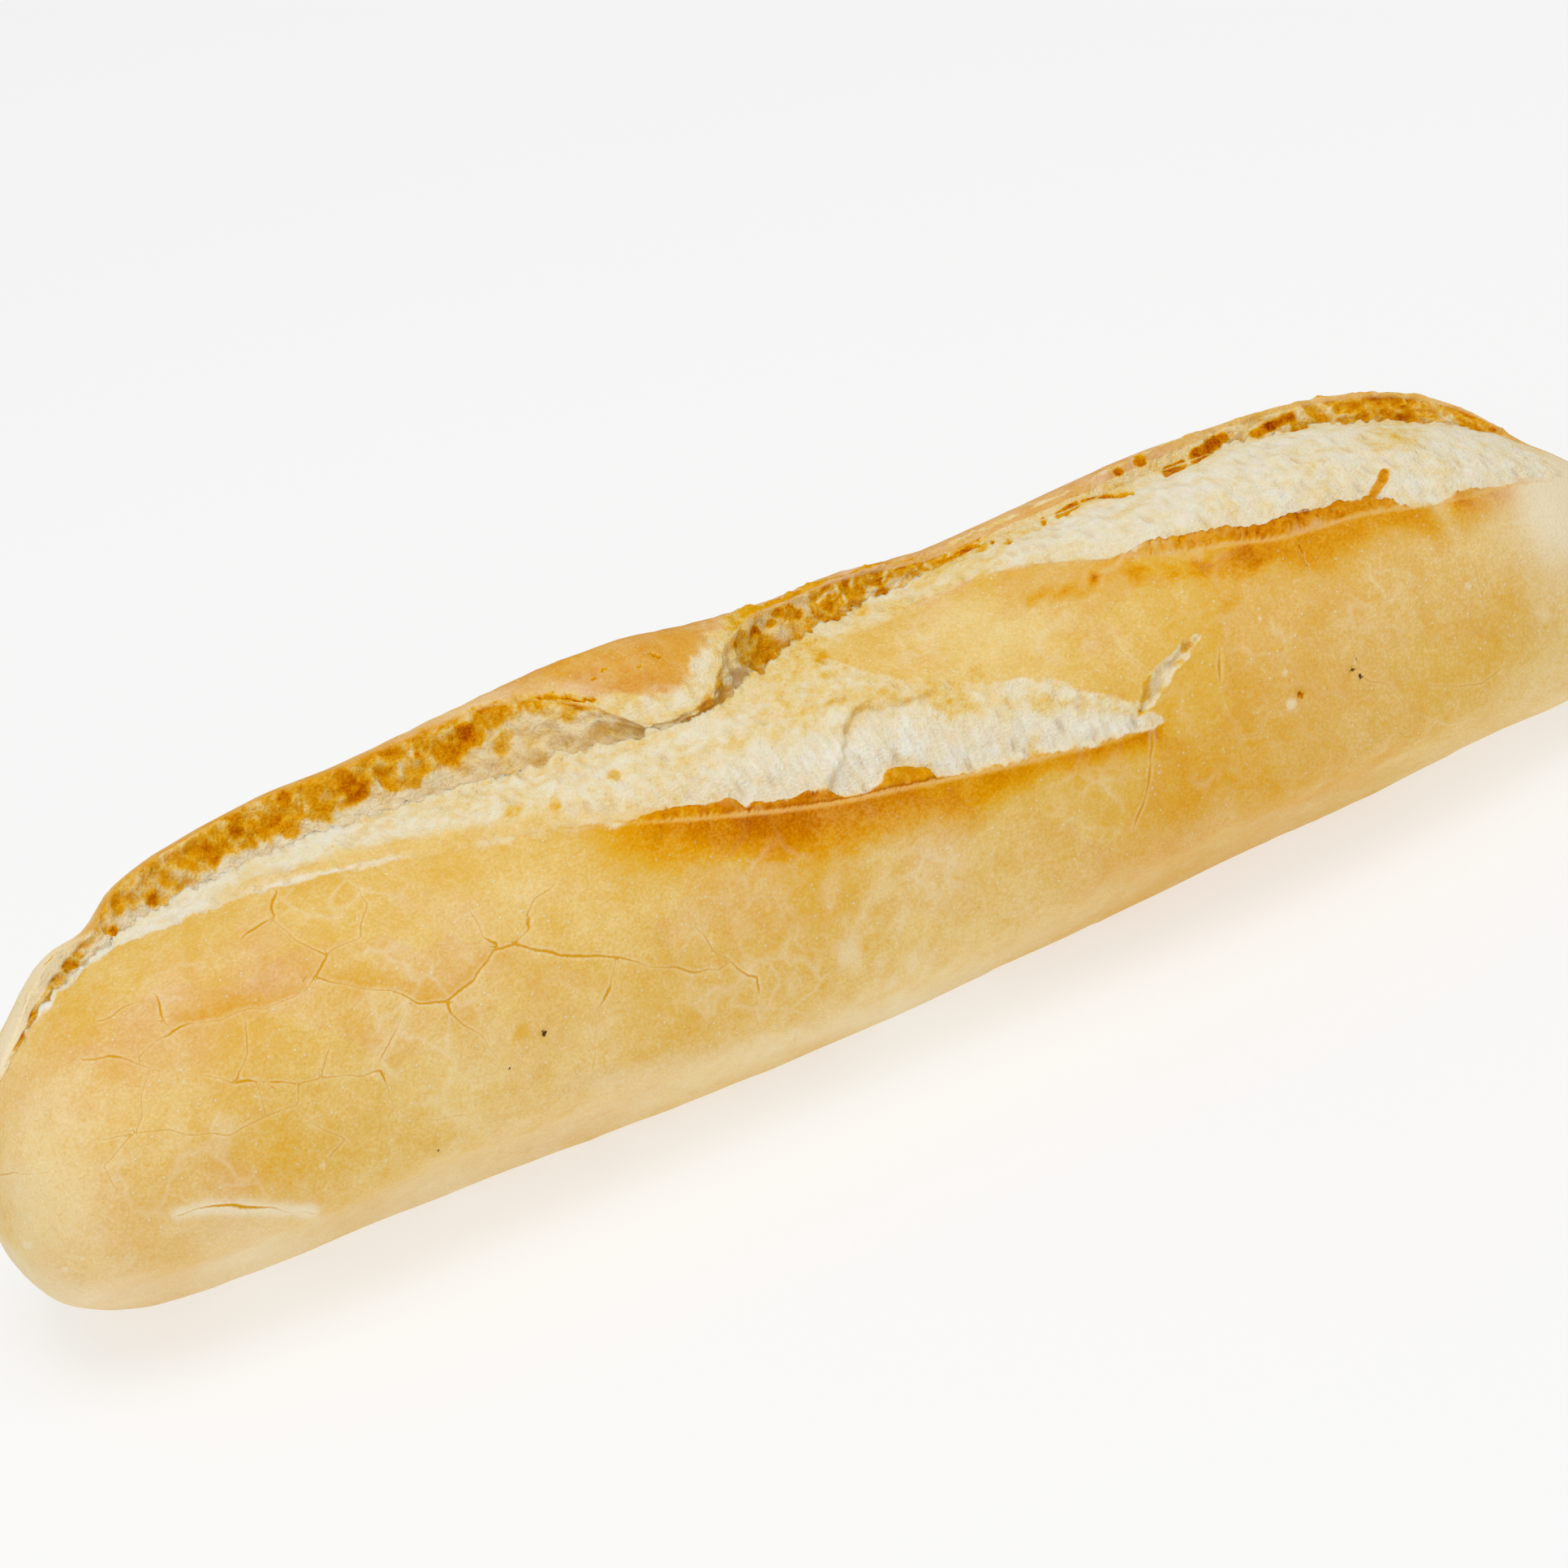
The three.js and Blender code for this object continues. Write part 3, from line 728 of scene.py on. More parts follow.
def bare_bread(at):
    """How far bare bread, not crust, shows, and how thick each rim's browned torn edge is."""
    points, x, rag = at.points, at.x, at.rag
    sharp = ease(-46, -36, x)
    lumpy = 0.92 + 0.3 * line_waves(x, 5, 33) + 0.15 * waves(points, 1.4, 34)
    middle_edge = np.maximum(along(x, MIDDLE_EDGE) * mix(1, lumpy, sharp), 0.1)
    right_edge = np.maximum(along(x, RIGHT_EDGE) * lumpy, 0.1)
    blur = mix(mix(0.7, 2.0, ease(-88, -60, x)), 0.4, sharp)
    ragged = rag * mix(1.3, 0.7, sharp) + 0.35 * sharp * waves(points, 0.7, 35)
    middle = ease(-blur, blur, at.above_middle - middle_edge + ragged)
    below_strip = (along(x, STRIP_FOOT) - at.angle) * MM_PER_DEGREE
    middle = middle * np.where(x < 0.5, 1, ease(-1.1, 1.1, below_strip + rag * 1.8)) * ease(43, 41, x)
    blur = mix(1.5, 0.4, ease(42, 54, x))
    ragged = rag * 0.7 + 0.4 * waves(points, 0.7, 36)
    right = ease(-blur, blur, at.above_right - right_edge + ragged) * ease(0, 2, x + rag)
    right = right * ease(124, 118, x + rag * 3)
    right = right * ease(0.5, 1.0, line_gap(at.spots, RIM_SPIKE) + rag * 0.3)
    bare = np.maximum(middle, right) * ease(-133, -126, x)
    return np.where(at.front, bare, 0), middle_edge, right_edge


def zones(points, facts):
    """What each point is part of, and where it stands to the rims, the lip and the ear's edge."""
    at = SimpleNamespace(points=points, spots=seen_at(points), **facts)
    for name, (inside, _) in at.stretch.items():
        setattr(at, name, inside)
    x = at.x
    at.arc = at.angle * MM_PER_DEGREE
    at.rag = waves(points, 1.1, 31) * 0.35 + waves(points, 2.7, 32) * 0.55
    at.bare, at.middle_edge, at.right_edge = bare_bread(at)
    at.middle_rim = at.front * within(x, *MIDDLE_RIM_SHOWN)
    at.right_rim = at.front * within(x, *RIGHT_RIM_SHOWN)
    at.notch = bump(x - NOTCH_X, NOTCH_REACH)
    at.before_lip = (at.lip - at.angle) * MM_PER_DEGREE
    at.past_edge = (at.angle - at.edge) * MM_PER_DEGREE
    at.shown = at.front | at.ear & (at.past_edge < 3 + 14 * bump(x + 24, 14))
    at.ear_share = np.where(at.ear, at.stretch["ear"][1], 0)
    at.near_edge = ease(0.95, 0.4, at.ear_share) * (at.ear | at.far_wall)
    blur = 1 + 1.4 * bump(x + 22, 12)
    at.ear_bare = ease(blur, -blur, at.past_edge - along(x, EAR_BARE) + at.rag * 2.5)
    at.ear_bare = at.ear_bare * at.ear * ease(-128, -118, x)
    return at


def crust_grain(at):
    """Relief of plain crust: slow bulges and a few blisters."""
    points = at.points
    bulges = 0.18 * waves(points, 11, 41) + 0.08 * waves(points, 4.2, 42) + 0.04 * waves(points, 1.6, 43)
    near, lot = cells(points, 3.4, 44)
    return bulges + 0.10 * ease(0.30, 0.10, near) * (lot > 0.5)


def bed_grain(at):
    """Relief of the opened beds: fibres drawn up from the rims, pits, grains and the long fold."""
    points, x, arc = at.points, at.x, at.arc
    strands = np.stack([x + 0.12 * arc, arc * 0.22, 0 * x], axis=-1)
    fibres = 0.14 * waves(strands, 0.9, 51) + 0.18 * waves(strands, 1.9, 52)
    near, lot = cells(np.stack([x + 0.1 * arc, arc * 0.42, 0 * x], axis=-1), 1.7, 53)
    at.pits = ease(0.5, 0.12, near) * ease(0.3, 0.8, lot)
    at.grains = 0.26 * waves(points, 3.1, 54) + 0.22 * waves(points, 1.1, 55)
    at.fold_side = line_side(at.spots, BED_FOLD) / PIXELS_PER_MM + 0.5 * waves(points, 1.6, 56)
    at.fold = np.minimum(np.abs(at.fold_side), line_gap(at.spots, BED_FOLD_LEFT)) + at.rag * 0.4
    at.fold_force = np.clip(0.6 + 0.8 * waves(points, 2.5, 57), 0, 1)
    at.bed_share = np.clip(at.above_middle / along(x, MIDDLE_WIDTH), 0, 1)
    fibrous = np.where(x < 44, ease(0.75, 0.35, at.bed_share) * ease(-33, -22, x), 0.2)
    at.fibrous = np.maximum(fibrous, 0.3 * ease(0, 2, at.above_right) * ease(22, 40, x)) * at.bare
    crumb = fibres * mix(0.5, 1.3, at.fibrous) + at.grains - 0.45 * at.pits
    crumb = crumb - 0.3 * at.fold_force * bump(at.fold, 0.5)
    return crumb + 0.8 * ease(0.3, -0.5, at.fold_side) * np.exp(-np.abs(at.fold_side) / 2.5)


def wall_grain(at):
    """Relief of the crevice's torn walls, and where they are hollow, threaded and golden."""
    points, x = at.points, at.x
    share = np.where(at.far_wall, at.stretch["far_wall"][1], at.stretch["near_wall"][1])
    run = np.where(at.far_wall | at.near_wall, share * (along(x, DEPTH) + 4), 0)
    drift = np.stack([waves(points, 3.3, 70), waves(points, 3.3, 71), 0 * x], axis=-1)
    place = np.stack([x + 0.3 * run, run * 0.7, 0 * x], axis=-1) + drift
    at.deep, at.hollow, at.thread = 0, 0, 0
    for size, depth, seed in ((3.2, 1.2, 72), (1.5, 1.0, 76), (0.8, 0.5, 80)):
        swing = np.abs(waves(place, size, seed))
        at.deep = at.deep + depth * ease(0.02, 0.5, swing)
        if size > 1:
            at.hollow = at.hollow + 0.45 * ease(0.1, 0.5, swing)
            at.thread = np.maximum(at.thread, ease(0.10, 0.0, swing))
    foot = np.interp(at.spots[:, 0], *np.array(GOLD_FOOT, float).T)
    ragged = 7 * waves(place, 3.8, 84) + 10 * waves(place, 1.4, 85) + 5 * waves(place, 0.7, 86)
    at.gold = ease(5, -5, at.spots[:, 1] - foot + ragged)
    from_top = share - 1 + along(x, CRUST_EDGE) * (1 + 0.25 * at.rag)
    at.crust_edge = at.far_wall * ease(-0.04, 0.04, from_top)
    fade = ease(0, 0.15, share) * ease(1, 0.9, share) * at.open * (1 - at.crust_edge)
    return fade * (0.5 - 0.42 * at.deep + 0.35 * waves(points, 1.2, 78))


def ground_relief(at):
    """Relief of crust, bed, ear and walls, each with its own grain."""
    points = at.points
    crust, bed, wall = crust_grain(at), bed_grain(at), wall_grain(at)
    torn_ear = at.grains * 2 + 0.2 * waves(points, 0.7, 148)
    relief = np.where(at.ear | at.back, mix(crust, torn_ear, at.ear_bare), 0)
    relief = np.where(at.front, mix(crust, bed, at.bare), relief)
    rough_ear = at.ear * within(at.x, -64, -50, 24, 34) * ease(14, 8, at.past_edge)
    relief = relief + rough_ear * (0.12 * waves(points, 1.5, 65) + 0.08 * waves(points, 0.8, 66))
    return np.where(at.far_wall, wall, np.where(at.near_wall, 0.5 * wall, relief))


def rim_held(x, above, edge, cut):
    """What rounds a rim's ridge and keeps it high up to the far side of its torn edge."""
    held = RIM_RISE * ease(edge + 1.3, edge - 0.4, above) - rim_step(x, above, cut)
    rounding = RIM_RISE / RIM_REACH * 0.35 * np.clip(1 - np.abs(above) / 1.4, 0, 1) ** 2
    return cut_strength(x, cut) * (np.where(above > 0, held, 0) - rounding)


def rim_relief(at):
    """Relief of each rim's thin ridge and lumpy torn edge, and of the teeth along the lip."""
    points, x, above, edge = at.points, at.x, at.above_middle, at.middle_edge
    at.groove = at.middle_rim * bump(above - 0.6, 0.6) * within(x, -24, -12, 5, 12)
    torn = ease(0.2, 1.1, above) * ease(edge + 0.6, edge - 0.4, above)
    ridge = rim_held(x, above, edge, MIDDLE_CUT) + 0.12 * bump(above + 0.1, 0.7)
    relief = at.middle_rim * (ridge + (0.35 + 0.5 * waves(points, 1.7, 63)) * torn) - 0.2 * at.groove

    above, edge = at.above_right, at.right_edge
    torn = ease(0.2, 1.0, above) * ease(edge + 0.6, edge - 0.4, above)
    at.torn_pits = ease(0.45, 0.15, cells(points * (1, 1, 0.5), 1.1, 134)[0])
    lift = 0.6 + 0.3 * waves(points, 1.5, 64) + 0.3 * waves(points, 0.7, 68) - 0.4 * at.torn_pits
    ridge = rim_held(x, above, edge, RIGHT_CUT) * (1 - at.notch) + 0.12 * bump(above + 0.1, 0.7)
    relief = relief + at.right_rim * (ridge + lift * torn - 0.8 * at.notch * bump(above, 2))

    teeth = 0.3 + 0.75 * waves(points, 1, 62) + 0.35 * waves(points, 0.6, 67)
    return relief + ease(1.4, 0.1, at.before_lip) * at.open * at.front * teeth


def crack_relief(at):
    """Relief of the fine cracks and the main one, and how strongly they show."""
    points, spots = at.points, at.spots
    fine = crack_side(spots, points, CRACKS.values())
    main = crack_side(spots, points, [MAIN_CRACK])
    at.crack_side = np.where(np.abs(main) < np.abs(fine), main, fine)
    side = crack_side(spots, points, [MAIN_CRACK[:8], CRACKS["left_rise"][3:]])
    at.golden_edge = ease(0, -0.5, side) * ease(-3.6, -0.8, side + 1.2 * waves(points, 3, 139))
    fine, main = np.abs(fine), np.abs(main)
    strength = np.clip(0.55 + 0.5 * waves(points, 6, 81), 0.2, 1)
    for mark in GAPING:
        strength = np.maximum(strength, 1.5 * near_spot(spots, *mark))
    main_strength = np.clip(0.9 + 0.2 * waves(points, 9, 82), 0.3, 1)
    for mark in CLOSED:
        main_strength = main_strength - 0.5 * near_spot(spots, *mark)
    crust = np.where(at.front, 1 - at.bare, 0)
    shown = np.maximum(0.7 * strength * ease(0.8, 0.5, fine), main_strength * ease(0.8, 0.5, main))
    at.crack = crust * shown
    sunk = 0.03 * strength * bump(fine, 0.3) + 0.07 * main_strength * bump(main, 0.35)
    curled = 0.05 * (bump(fine - 0.7, 0.4) + 1.3 * bump(main - 0.8, 0.5))
    return crust * (curled - sunk)


def mark_relief(at):
    """Relief of the tear in the strip, the crease, the specks and the small holes."""
    spots, rag = at.spots, at.rag
    gap = line_gap(spots, STRIP_TEAR)
    down, reach = TEAR_WIDEST
    widest = bump(spots[:, 1] - down, reach)
    ragged = gap + rag * 0.9 + 0.35 * waves(at.points, 0.9, 137)
    at.tear = at.front * ease(0.6, 0.15, ragged - 1.1 * widest)
    at.tear_inside = at.front * ease(0.3, -0.1, ragged - 0.6 * widest)
    at.crease = at.front * bump(line_gap(spots, CREASE), 1.6)
    at.speck = in_marks(spots, SPECKS, rag) * at.front
    at.hole = np.maximum(in_marks(spots, HOLES, rag), near_lines(spots, SLITS, rag))
    at.hole = at.hole * (at.shown | at.far_wall)
    relief = 0.15 * at.front * bump(gap - 1.2, 0.5) - 0.6 * at.tear_inside + 0.3 * at.crease
    return relief - 0.25 * at.speck - 0.4 * at.hole * (at.front | at.ear)


def fine_relief(at):
    """All the relief, in millimetres, over the laid sheet."""
    relief = ground_relief(at) + rim_relief(at) + crack_relief(at) + mark_relief(at)
    underside = at.base_front | at.base_back
    relief = np.where(underside, 0.12 * waves(at.points, 3, 91) - 0.12, relief)
    return relief * ease(0.02, 0.3, at.size)


def rim_bake(at):
    """How much browner the crust is below each rim's ridge and on its torn edge."""
    points, x, above, edge = at.points, at.x, at.above_middle, at.middle_edge
    uneven = 1 + 0.3 * line_waves(x, 9, 103) + 0.2 * line_waves(x, 3, 113)
    depth = uneven * mix(1, 0.4, ease(6, 22, x)) * (1 + 0.25 * waves(points, 3, 132))
    below = ease(0, -0.4, above) * ease(-10, -1.5, above / depth) * mix(0.40, 0.34, ease(12, 26, x))
    below = below * ease(-54, -30, x) * (above < 0.2)
    lumps = 0.36 + 0.12 * waves(points, 1.8, 125) + 0.12 * waves(points, 0.8, 146)
    top = np.where((above > 0.3) & (above < edge + 1), lumps, 0.1 * bump(above, 0.6)) * (above > -0.2)
    bake = at.middle_rim * (below + top)
    bake = bake + at.front * 0.04 * bump(x + 70, 40) * np.exp(np.minimum(above, 0) / 6) * (above < 1)

    above, edge = at.above_right, at.right_edge
    depth = uneven * (1 + 0.4 * waves(points, 2.6, 135))
    below = ease(0, -0.4, above) * ease(-8, -2, above / depth) * mix(0.06, 0.29, ease(46, 72, x))
    below = below * ease(118, 104, x) * (above < 0.2) * (1 - at.notch)
    browned = ease(3.2, 1.4, edge - above + 1.1 * waves(points, 1.3, 136))
    at.browned_top = browned * within(x, 48, 60, 93, 98)
    top = 0.14 + 0.23 * at.browned_top + 0.16 * at.torn_pits + 0.08 * waves(points, 0.8, 147)
    top = np.where((above > 0.3) & (above < edge + 1.5), top, 0.08) * (above > -0.2)
    return bake + at.right_rim * (below + top * ease(20, 50, x))


def bake_of(at):
    """How brown the crust is baked, from 0 to 1."""
    points, x, spots, rag, past = at.points, at.x, at.spots, at.rag, at.past_edge
    bake = 0.30 + 0.035 * waves(points, 22, 101) + 0.03 * waves(points, 9, 102)
    blush = np.zeros_like(x)
    for *mark, amount in BLUSHES:
        blush = blush + amount * near_spot(spots, *mark)
    at.browned = np.zeros_like(x)
    for *mark, amount in BROWNED:
        at.browned = np.maximum(at.browned, amount * in_marks(spots, [mark], rag))
    bake = bake + at.front * (blush + at.browned + 0.12 * at.golden_edge) + rim_bake(at)
    spike = at.front * ease(1.05, 0.4, line_gap(spots, RIM_SPIKE) + rag * 0.3)
    bake = np.maximum(bake, spike * (0.68 + 0.1 * waves(points, 1.2, 133)))
    tan = ease(0.6, -0.4, at.above_right) * ease(-6, -3, at.above_right + 1.5 * waves(points, 4, 129))
    at.strip_tan = at.front * tan * within(x, 14, 28, 50, 64)
    strip_line = at.front * ease(1.2, 0.1, line_gap(spots, STRIP_LINE) + rag * 0.5)
    bake = bake + 0.02 * at.strip_tan + 0.26 * strip_line

    ear = 0.27 + 0.05 * waves(points, 2.2, 124) + 0.10 * ease(-8, 20, x)
    ear = ear + 0.18 * bump(x + 84, 34) * np.exp(-np.maximum(past, 0) / 5) * ease(-116, -104, x)
    ear = ear + 0.22 * bump(x + 20, 32) * ease(1, 6, past)
    ear = ear + 0.1 * ease(2.2, 0.6, past) * ease(-42, -50, x) * ease(-114, -108, x)
    ear = mix(0.3, mix(0.3, ear, at.near_edge), ease(-130, -118, x)) + 0.05 * waves(points, 6, 104)
    back_share = np.clip(at.stretch["back"][1], 0, 1)
    # At the far left the wall stands for the ear's pale crust end and is baked paler, partly as painted
    # light on a wall that faces down into shade
    wall = mix(0.12, 0.38 + 0.2 * ease(-46, -52, x), ease(-112, -107, x)) + 0.06 * waves(points, 2, 140)
    bake = np.where(at.ear, ear, bake)
    bake = np.where(at.back, mix(0.3, 0.22, back_share) + 0.05 * waves(points, 14, 105), bake)
    bake = np.where(at.base, 0.36 + 0.08 * waves(points, 10, 106), bake)
    return np.where(at.far_wall, wall, bake)


def rosiness(at):
    """How rosy, rather than golden, the baked crust is, from 0 to 1."""
    points, x, above, edge = at.points, at.x, at.above_right, at.right_edge
    rosy = 0.2 * (at.ear | at.back) + 0.45 * at.near_edge * ease(-118, -108, x)
    rosy = rosy + 0.6 * at.middle_rim * bump(at.above_middle, 0.3)
    torn_edge = ease(-0.3, 0, above) * ease(edge + 1, edge, above) * (1 - at.browned_top)
    rosy = rosy + 0.7 * at.right_rim * torn_edge
    rosy = rosy + at.front * (0.15 * bump(x + 80, 40) * bump(at.above_middle + 6, 9) + 0.3 * at.strip_tan)
    rosy = rosy + 0.25 * waves(points, 5, 115) + 0.2 * waves(points, 14, 141)
    flank = at.front & (at.bare < 0.5) & (above < 0)
    rosy = rosy * np.where(flank, mix(1, 0.15, ease(10, 60, x)), 1)
    for mark in ROSY:
        rosy = rosy + 0.45 * at.front * near_spot(at.spots, *mark)
    return rosy - 3 * at.browned


def wall_toast(at):
    """How golden the crevice's far wall is toasted, and how shaded its hollows are."""
    points, x, rag = at.points, at.x, at.rag
    golden = mix(mix(0.38, 0.45, ease(-98, -80, x)), 0.40, ease(-50, -30, x))
    golden = golden + mix(0.08, 0.12, ease(-50, -30, x)) * at.deep + 0.12 * waves(points, 2.2, 117)
    golden = golden + 0.08 * waves(points, 0.8, 123) - 0.08 * at.thread - 0.05 * ease(66, 88, x)
    hollow = np.clip(at.hollow, 0, 1)
    plain = mix(0.2, 0.27, ease(-62, -44, x)) + 0.1 * bump(x + 2, 12) + 0.04 * ease(25, 35, x)
    plain = plain + (0.16 + 0.16 * bump(x - 4, 14)) * ease(-0.2, 0.5, waves(points, 2.2, 119)) * hollow
    toast = mix(plain, np.minimum(golden, 0.8), at.gold)
    shade = (1 - at.gold) * (0.12 * ease(-5, -20, x) + 0.25 * bump(x + 36, 14)) * hollow
    for *mark, toasted, shaded in POCKETS:
        inside = in_marks(at.spots, [mark], rag)
        toast = mix(toast, toasted + 0.06 * waves(points, 0.9, 130), inside)
        shade = mix(shade, shaded, inside)
    thread = near_lines(at.spots, [(WALL_THREAD_WIDTH, line) for line in WALL_THREADS], rag)
    return mix(toast, 0.3, thread), shade


def bread_toast(at):
    """How golden the bared bread is toasted, from 0 to 1, and how shaded the crevice is."""
    points, x, rag, above = at.points, at.x, at.rag, at.above_middle
    near_lip = ease(6, 2, at.before_lip)
    toast = 0.25 + 0.08 * waves(points, 2.5, 108) + 0.06 * waves(points, 6, 128)
    toast = toast + 0.08 * waves(points, 1.1, 109) - 0.07 * ease(-60, -95, x)
    toast = toast + near_lip * (0.05 * ease(40, 60, x) + 0.07 * within(x, 16, 30, 60, 80))
    upper = mix(0.11, 0.05, ease(10, 22, x)) * ease(0.35, 0.8, at.bed_share) * within(x, -20, -5, 28, 46)
    upper = upper + 0.14 * near_oval(at.spots, *TOASTED_TOP)
    band = 0.06 * bump(above - 2.4, 1.8) * bump(x + 66, 34) * (0.8 + 0.4 * waves(points, 3, 116))
    band = band * (1 + 0.6 * waves(points, 1, 131)) - 0.08 * bump(above - 0.2, 0.5) * bump(x + 84, 20)
    # The last term browns the line of the bed's fold: painted shade in its crease
    toast = toast + upper + band + 0.2 * at.fold_force * bump(at.fold, 0.35)
    toast = toast + 0.16 * in_marks(at.spots, TOASTED_DOTS, rag) - 0.16 * at.fibrous
    fringe = bump(above - at.middle_edge - 0.3, 0.7) * at.middle_rim
    fringe = fringe + 0.6 * bump(at.above_right - at.right_edge - 0.2, 0.6) * at.right_rim
    toast = toast + (0.13 + 0.1 * waves(points, 1.3, 144)) * fringe
    walls, shade = wall_toast(at)
    toast = np.where(at.far_wall, walls, np.where(at.near_wall, 0.28, toast))
    toast = np.where(at.ear, along(x, EAR_TOAST) + 0.12 * waves(points, 1.5, 111), toast)
    # Holes and slits: toasted crumb, darkened further as painted shade in their depth
    toast = np.maximum(toast, at.hole * (0.78 + 0.15 * waves(points, 2, 120)))
    in_tear = 0.25 + 0.3 * ease(0.1, 0.6, waves(points, 1.2, 121))
    return mix(toast, in_tear, np.maximum(at.tear, at.tear_inside)), shade


def torn_share(at):
    """How far bare bread, not crust, shows everywhere, with the half crust of the left band."""
    points, x, above = at.points, at.x, at.above_middle
    from_edge = np.maximum(ease(0.5, 1.4, above), ease(-80, -64, x))
    half_crust = bump(above - 2.5 + 0.7 * waves(points, 2.2, 142), 2.3) * from_edge * bump(x + 66, 34)
    half_crust = half_crust * at.front * (0.85 + 0.15 * waves(points, 1.2, 143))
    torn = np.maximum(at.bare * (1 - np.clip(half_crust, 0, 0.9)), at.tear)
    wall = within(x + at.rag, -131, -125, 117, 124) * (1 - at.crust_edge)
    torn = np.where(at.near_wall | at.far_wall, wall, np.where(at.ear, at.ear_bare, torn))
    return np.maximum(torn, at.hole)


def bed_shade(at):
    """How shaded the bared bread is in its pits, its fold and the strip's tear."""
    fold = at.fold_force * (bump(at.fold, 0.35) + 0.8 * bump(at.fold_side - 0.7, 0.5))
    shade = at.front * (0.55 * at.pits * mix(0.6, 1.1, at.fibrous) + 0.5 * fold)
    tear = 0.5 * at.tear_inside * ease(-0.3, 0.4, waves(at.points, 1.6, 138))
    return shade + 0.12 * at.fibrous + tear


def paleness(at):
    """How pale the crust is: floury towards the base and beside the tears, with a painted highlight at each
    end.
    """
    points, x, spots = at.points, at.x, at.spots
    flank = ease(4, -46, at.angle) * at.front + ease(190, 232, at.angle) * at.back
    pale = mix(0.75, 0.55, ease(10, 50, x)) * flank * (0.7 + 0.3 * waves(points, 16, 110))
    slanted = spots @ np.array(STREAK_SLANT) / STREAK_SIZE
    streak = waves(np.stack([slanted[:, 0], slanted[:, 1], 0 * x], axis=-1), 1, 122)
    pale = pale + 0.5 * at.front * ease(0.1, 0.7, streak) * near_oval(spots, *STREAKED)
    # Painted highlight: the right end of the crust is made paler where the light catches it
    end = near_oval(spots, *RIGHT_END_HIGHLIGHT) * (1.7 + 0.5 * waves(points, 5, 149))
    end = end * (at.front + at.ear * ease(1, 0.3, at.ear_share))
    foot = at.front * bump(line_gap(spots, FOOT_TEAR) + 0.6 * at.rag, 1)
    # The last term is a painted highlight on the left tip
    pale = pale + end + 0.25 * at.crease + 0.9 * foot + 0.28 * ease(-116, -134, x)
    # The ear's pale left end, on the ear and the wall: partly the crust's own paleness, partly painted
    # light where the wall faces down into shade
    ear_end = (at.ear | at.far_wall) * ease(-108, -116, x) * ease(-136, -127, x)
    pale = pale + 0.8 * ear_end * ease(0.5, 0.15, at.ear_share)
    flour = 0.4 * at.front * near_oval(spots, *FLOUR_PATCH)
    flecks = 0.75 * at.front * in_marks(spots, FLECKS, at.rag)
    return np.maximum(pale + flour, flecks) * ~at.base


def tints_of(at):
    """What the material reads at each point, by name."""
    x = at.x
    toast, shade = bread_toast(at)
    on_middle = np.abs(at.above_middle) < np.abs(at.above_right)
    # The rims' ridges, where a painted highlight is laid
    ridge = np.where(on_middle, at.middle_rim * within(x, -40, -20, 20, 40), at.right_rim * ease(50, 62, x))
    shares = {
        "bake": bake_of(at), "rosy": rosiness(at), "pale": paleness(at), "crack": at.crack,
        "torn": torn_share(at), "toast": toast, "shade": np.where(at.far_wall, shade, 0) + bed_shade(at),
        "fibrous": at.fibrous,
    }
    tints = {name: np.clip(share, 0, 1) for name, share in shares.items()}
    tints["char"] = at.speck
    tints["crack_side"] = np.clip(at.crack_side, -1, 1)
    tints["rim_side"] = np.clip(np.where(on_middle, at.above_middle, at.above_right), -2, 2)
    tints["ridge"] = ridge * (1 + 0.5 * waves(at.points, 2.4, 145))
    tints["groove"] = at.groove
    return tints


bpy.ops.mesh.primitive_grid_add(x_subdivisions=COLUMNS, y_subdivisions=ROWS, size=2)
skin = bpy.context.object
skin.name = "bread_skin"
bpy.ops.object.mode_set(mode="EDIT")
bpy.ops.mesh.select_mode(type="FACE")
bpy.ops.mesh.select_all(action="SELECT")
bpy.ops.transform.resize(value=(1, ROWS / 2, 1), center_override=(0, -1, 0))
bpy.ops.object.mode_set(mode="OBJECT")


def on_sheet(test):
    """The test, taking the grid's own coordinates."""
    return lambda across, upwards: test(across, upwards + 1)


refine(skin, on_sheet(lambda column, row: is_torn(column, row) | is_marked(column, row)))
refine(skin, on_sheet(fine_only))

flat = np.zeros(len(skin.data.vertices) * 3)
skin.data.vertices.foreach_get("co", flat)
flat = flat.reshape(-1, 3)
points, facts = lay_over_form(flat[:, 0], flat[:, 1] + 1)
skin.data.vertices.foreach_set("co", (points / 1000).ravel())
skin.data.update()
normals = np.zeros(len(points) * 3)
skin.data.vertices.foreach_get("normal", normals)
at = zones(points, facts)
points = points + normals.reshape(-1, 3) * fine_relief(at)[:, None]
points[:, 2] = np.maximum(points[:, 2], 0)
skin.data.vertices.foreach_set("co", (points / 1000).ravel())
for name, values in tints_of(at).items():
    skin.data.attributes.new(name, "FLOAT", "POINT").data.foreach_set("value", values)
wrap = np.stack([at.x, at.arc, 0 * at.x], axis=-1) / 1000
skin.data.attributes.new("wrap", "FLOAT_VECTOR", "POINT").data.foreach_set("vector", wrap.ravel())
bpy.ops.object.mode_set(mode="EDIT")
bpy.ops.mesh.select_all(action="SELECT")
bpy.ops.mesh.remove_doubles(threshold=MERGE)
bpy.ops.mesh.dissolve_degenerate(threshold=MERGE)
bpy.ops.object.mode_set(mode="OBJECT")
bpy.ops.object.shade_smooth()
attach(skin, "root")
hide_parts("loaf")


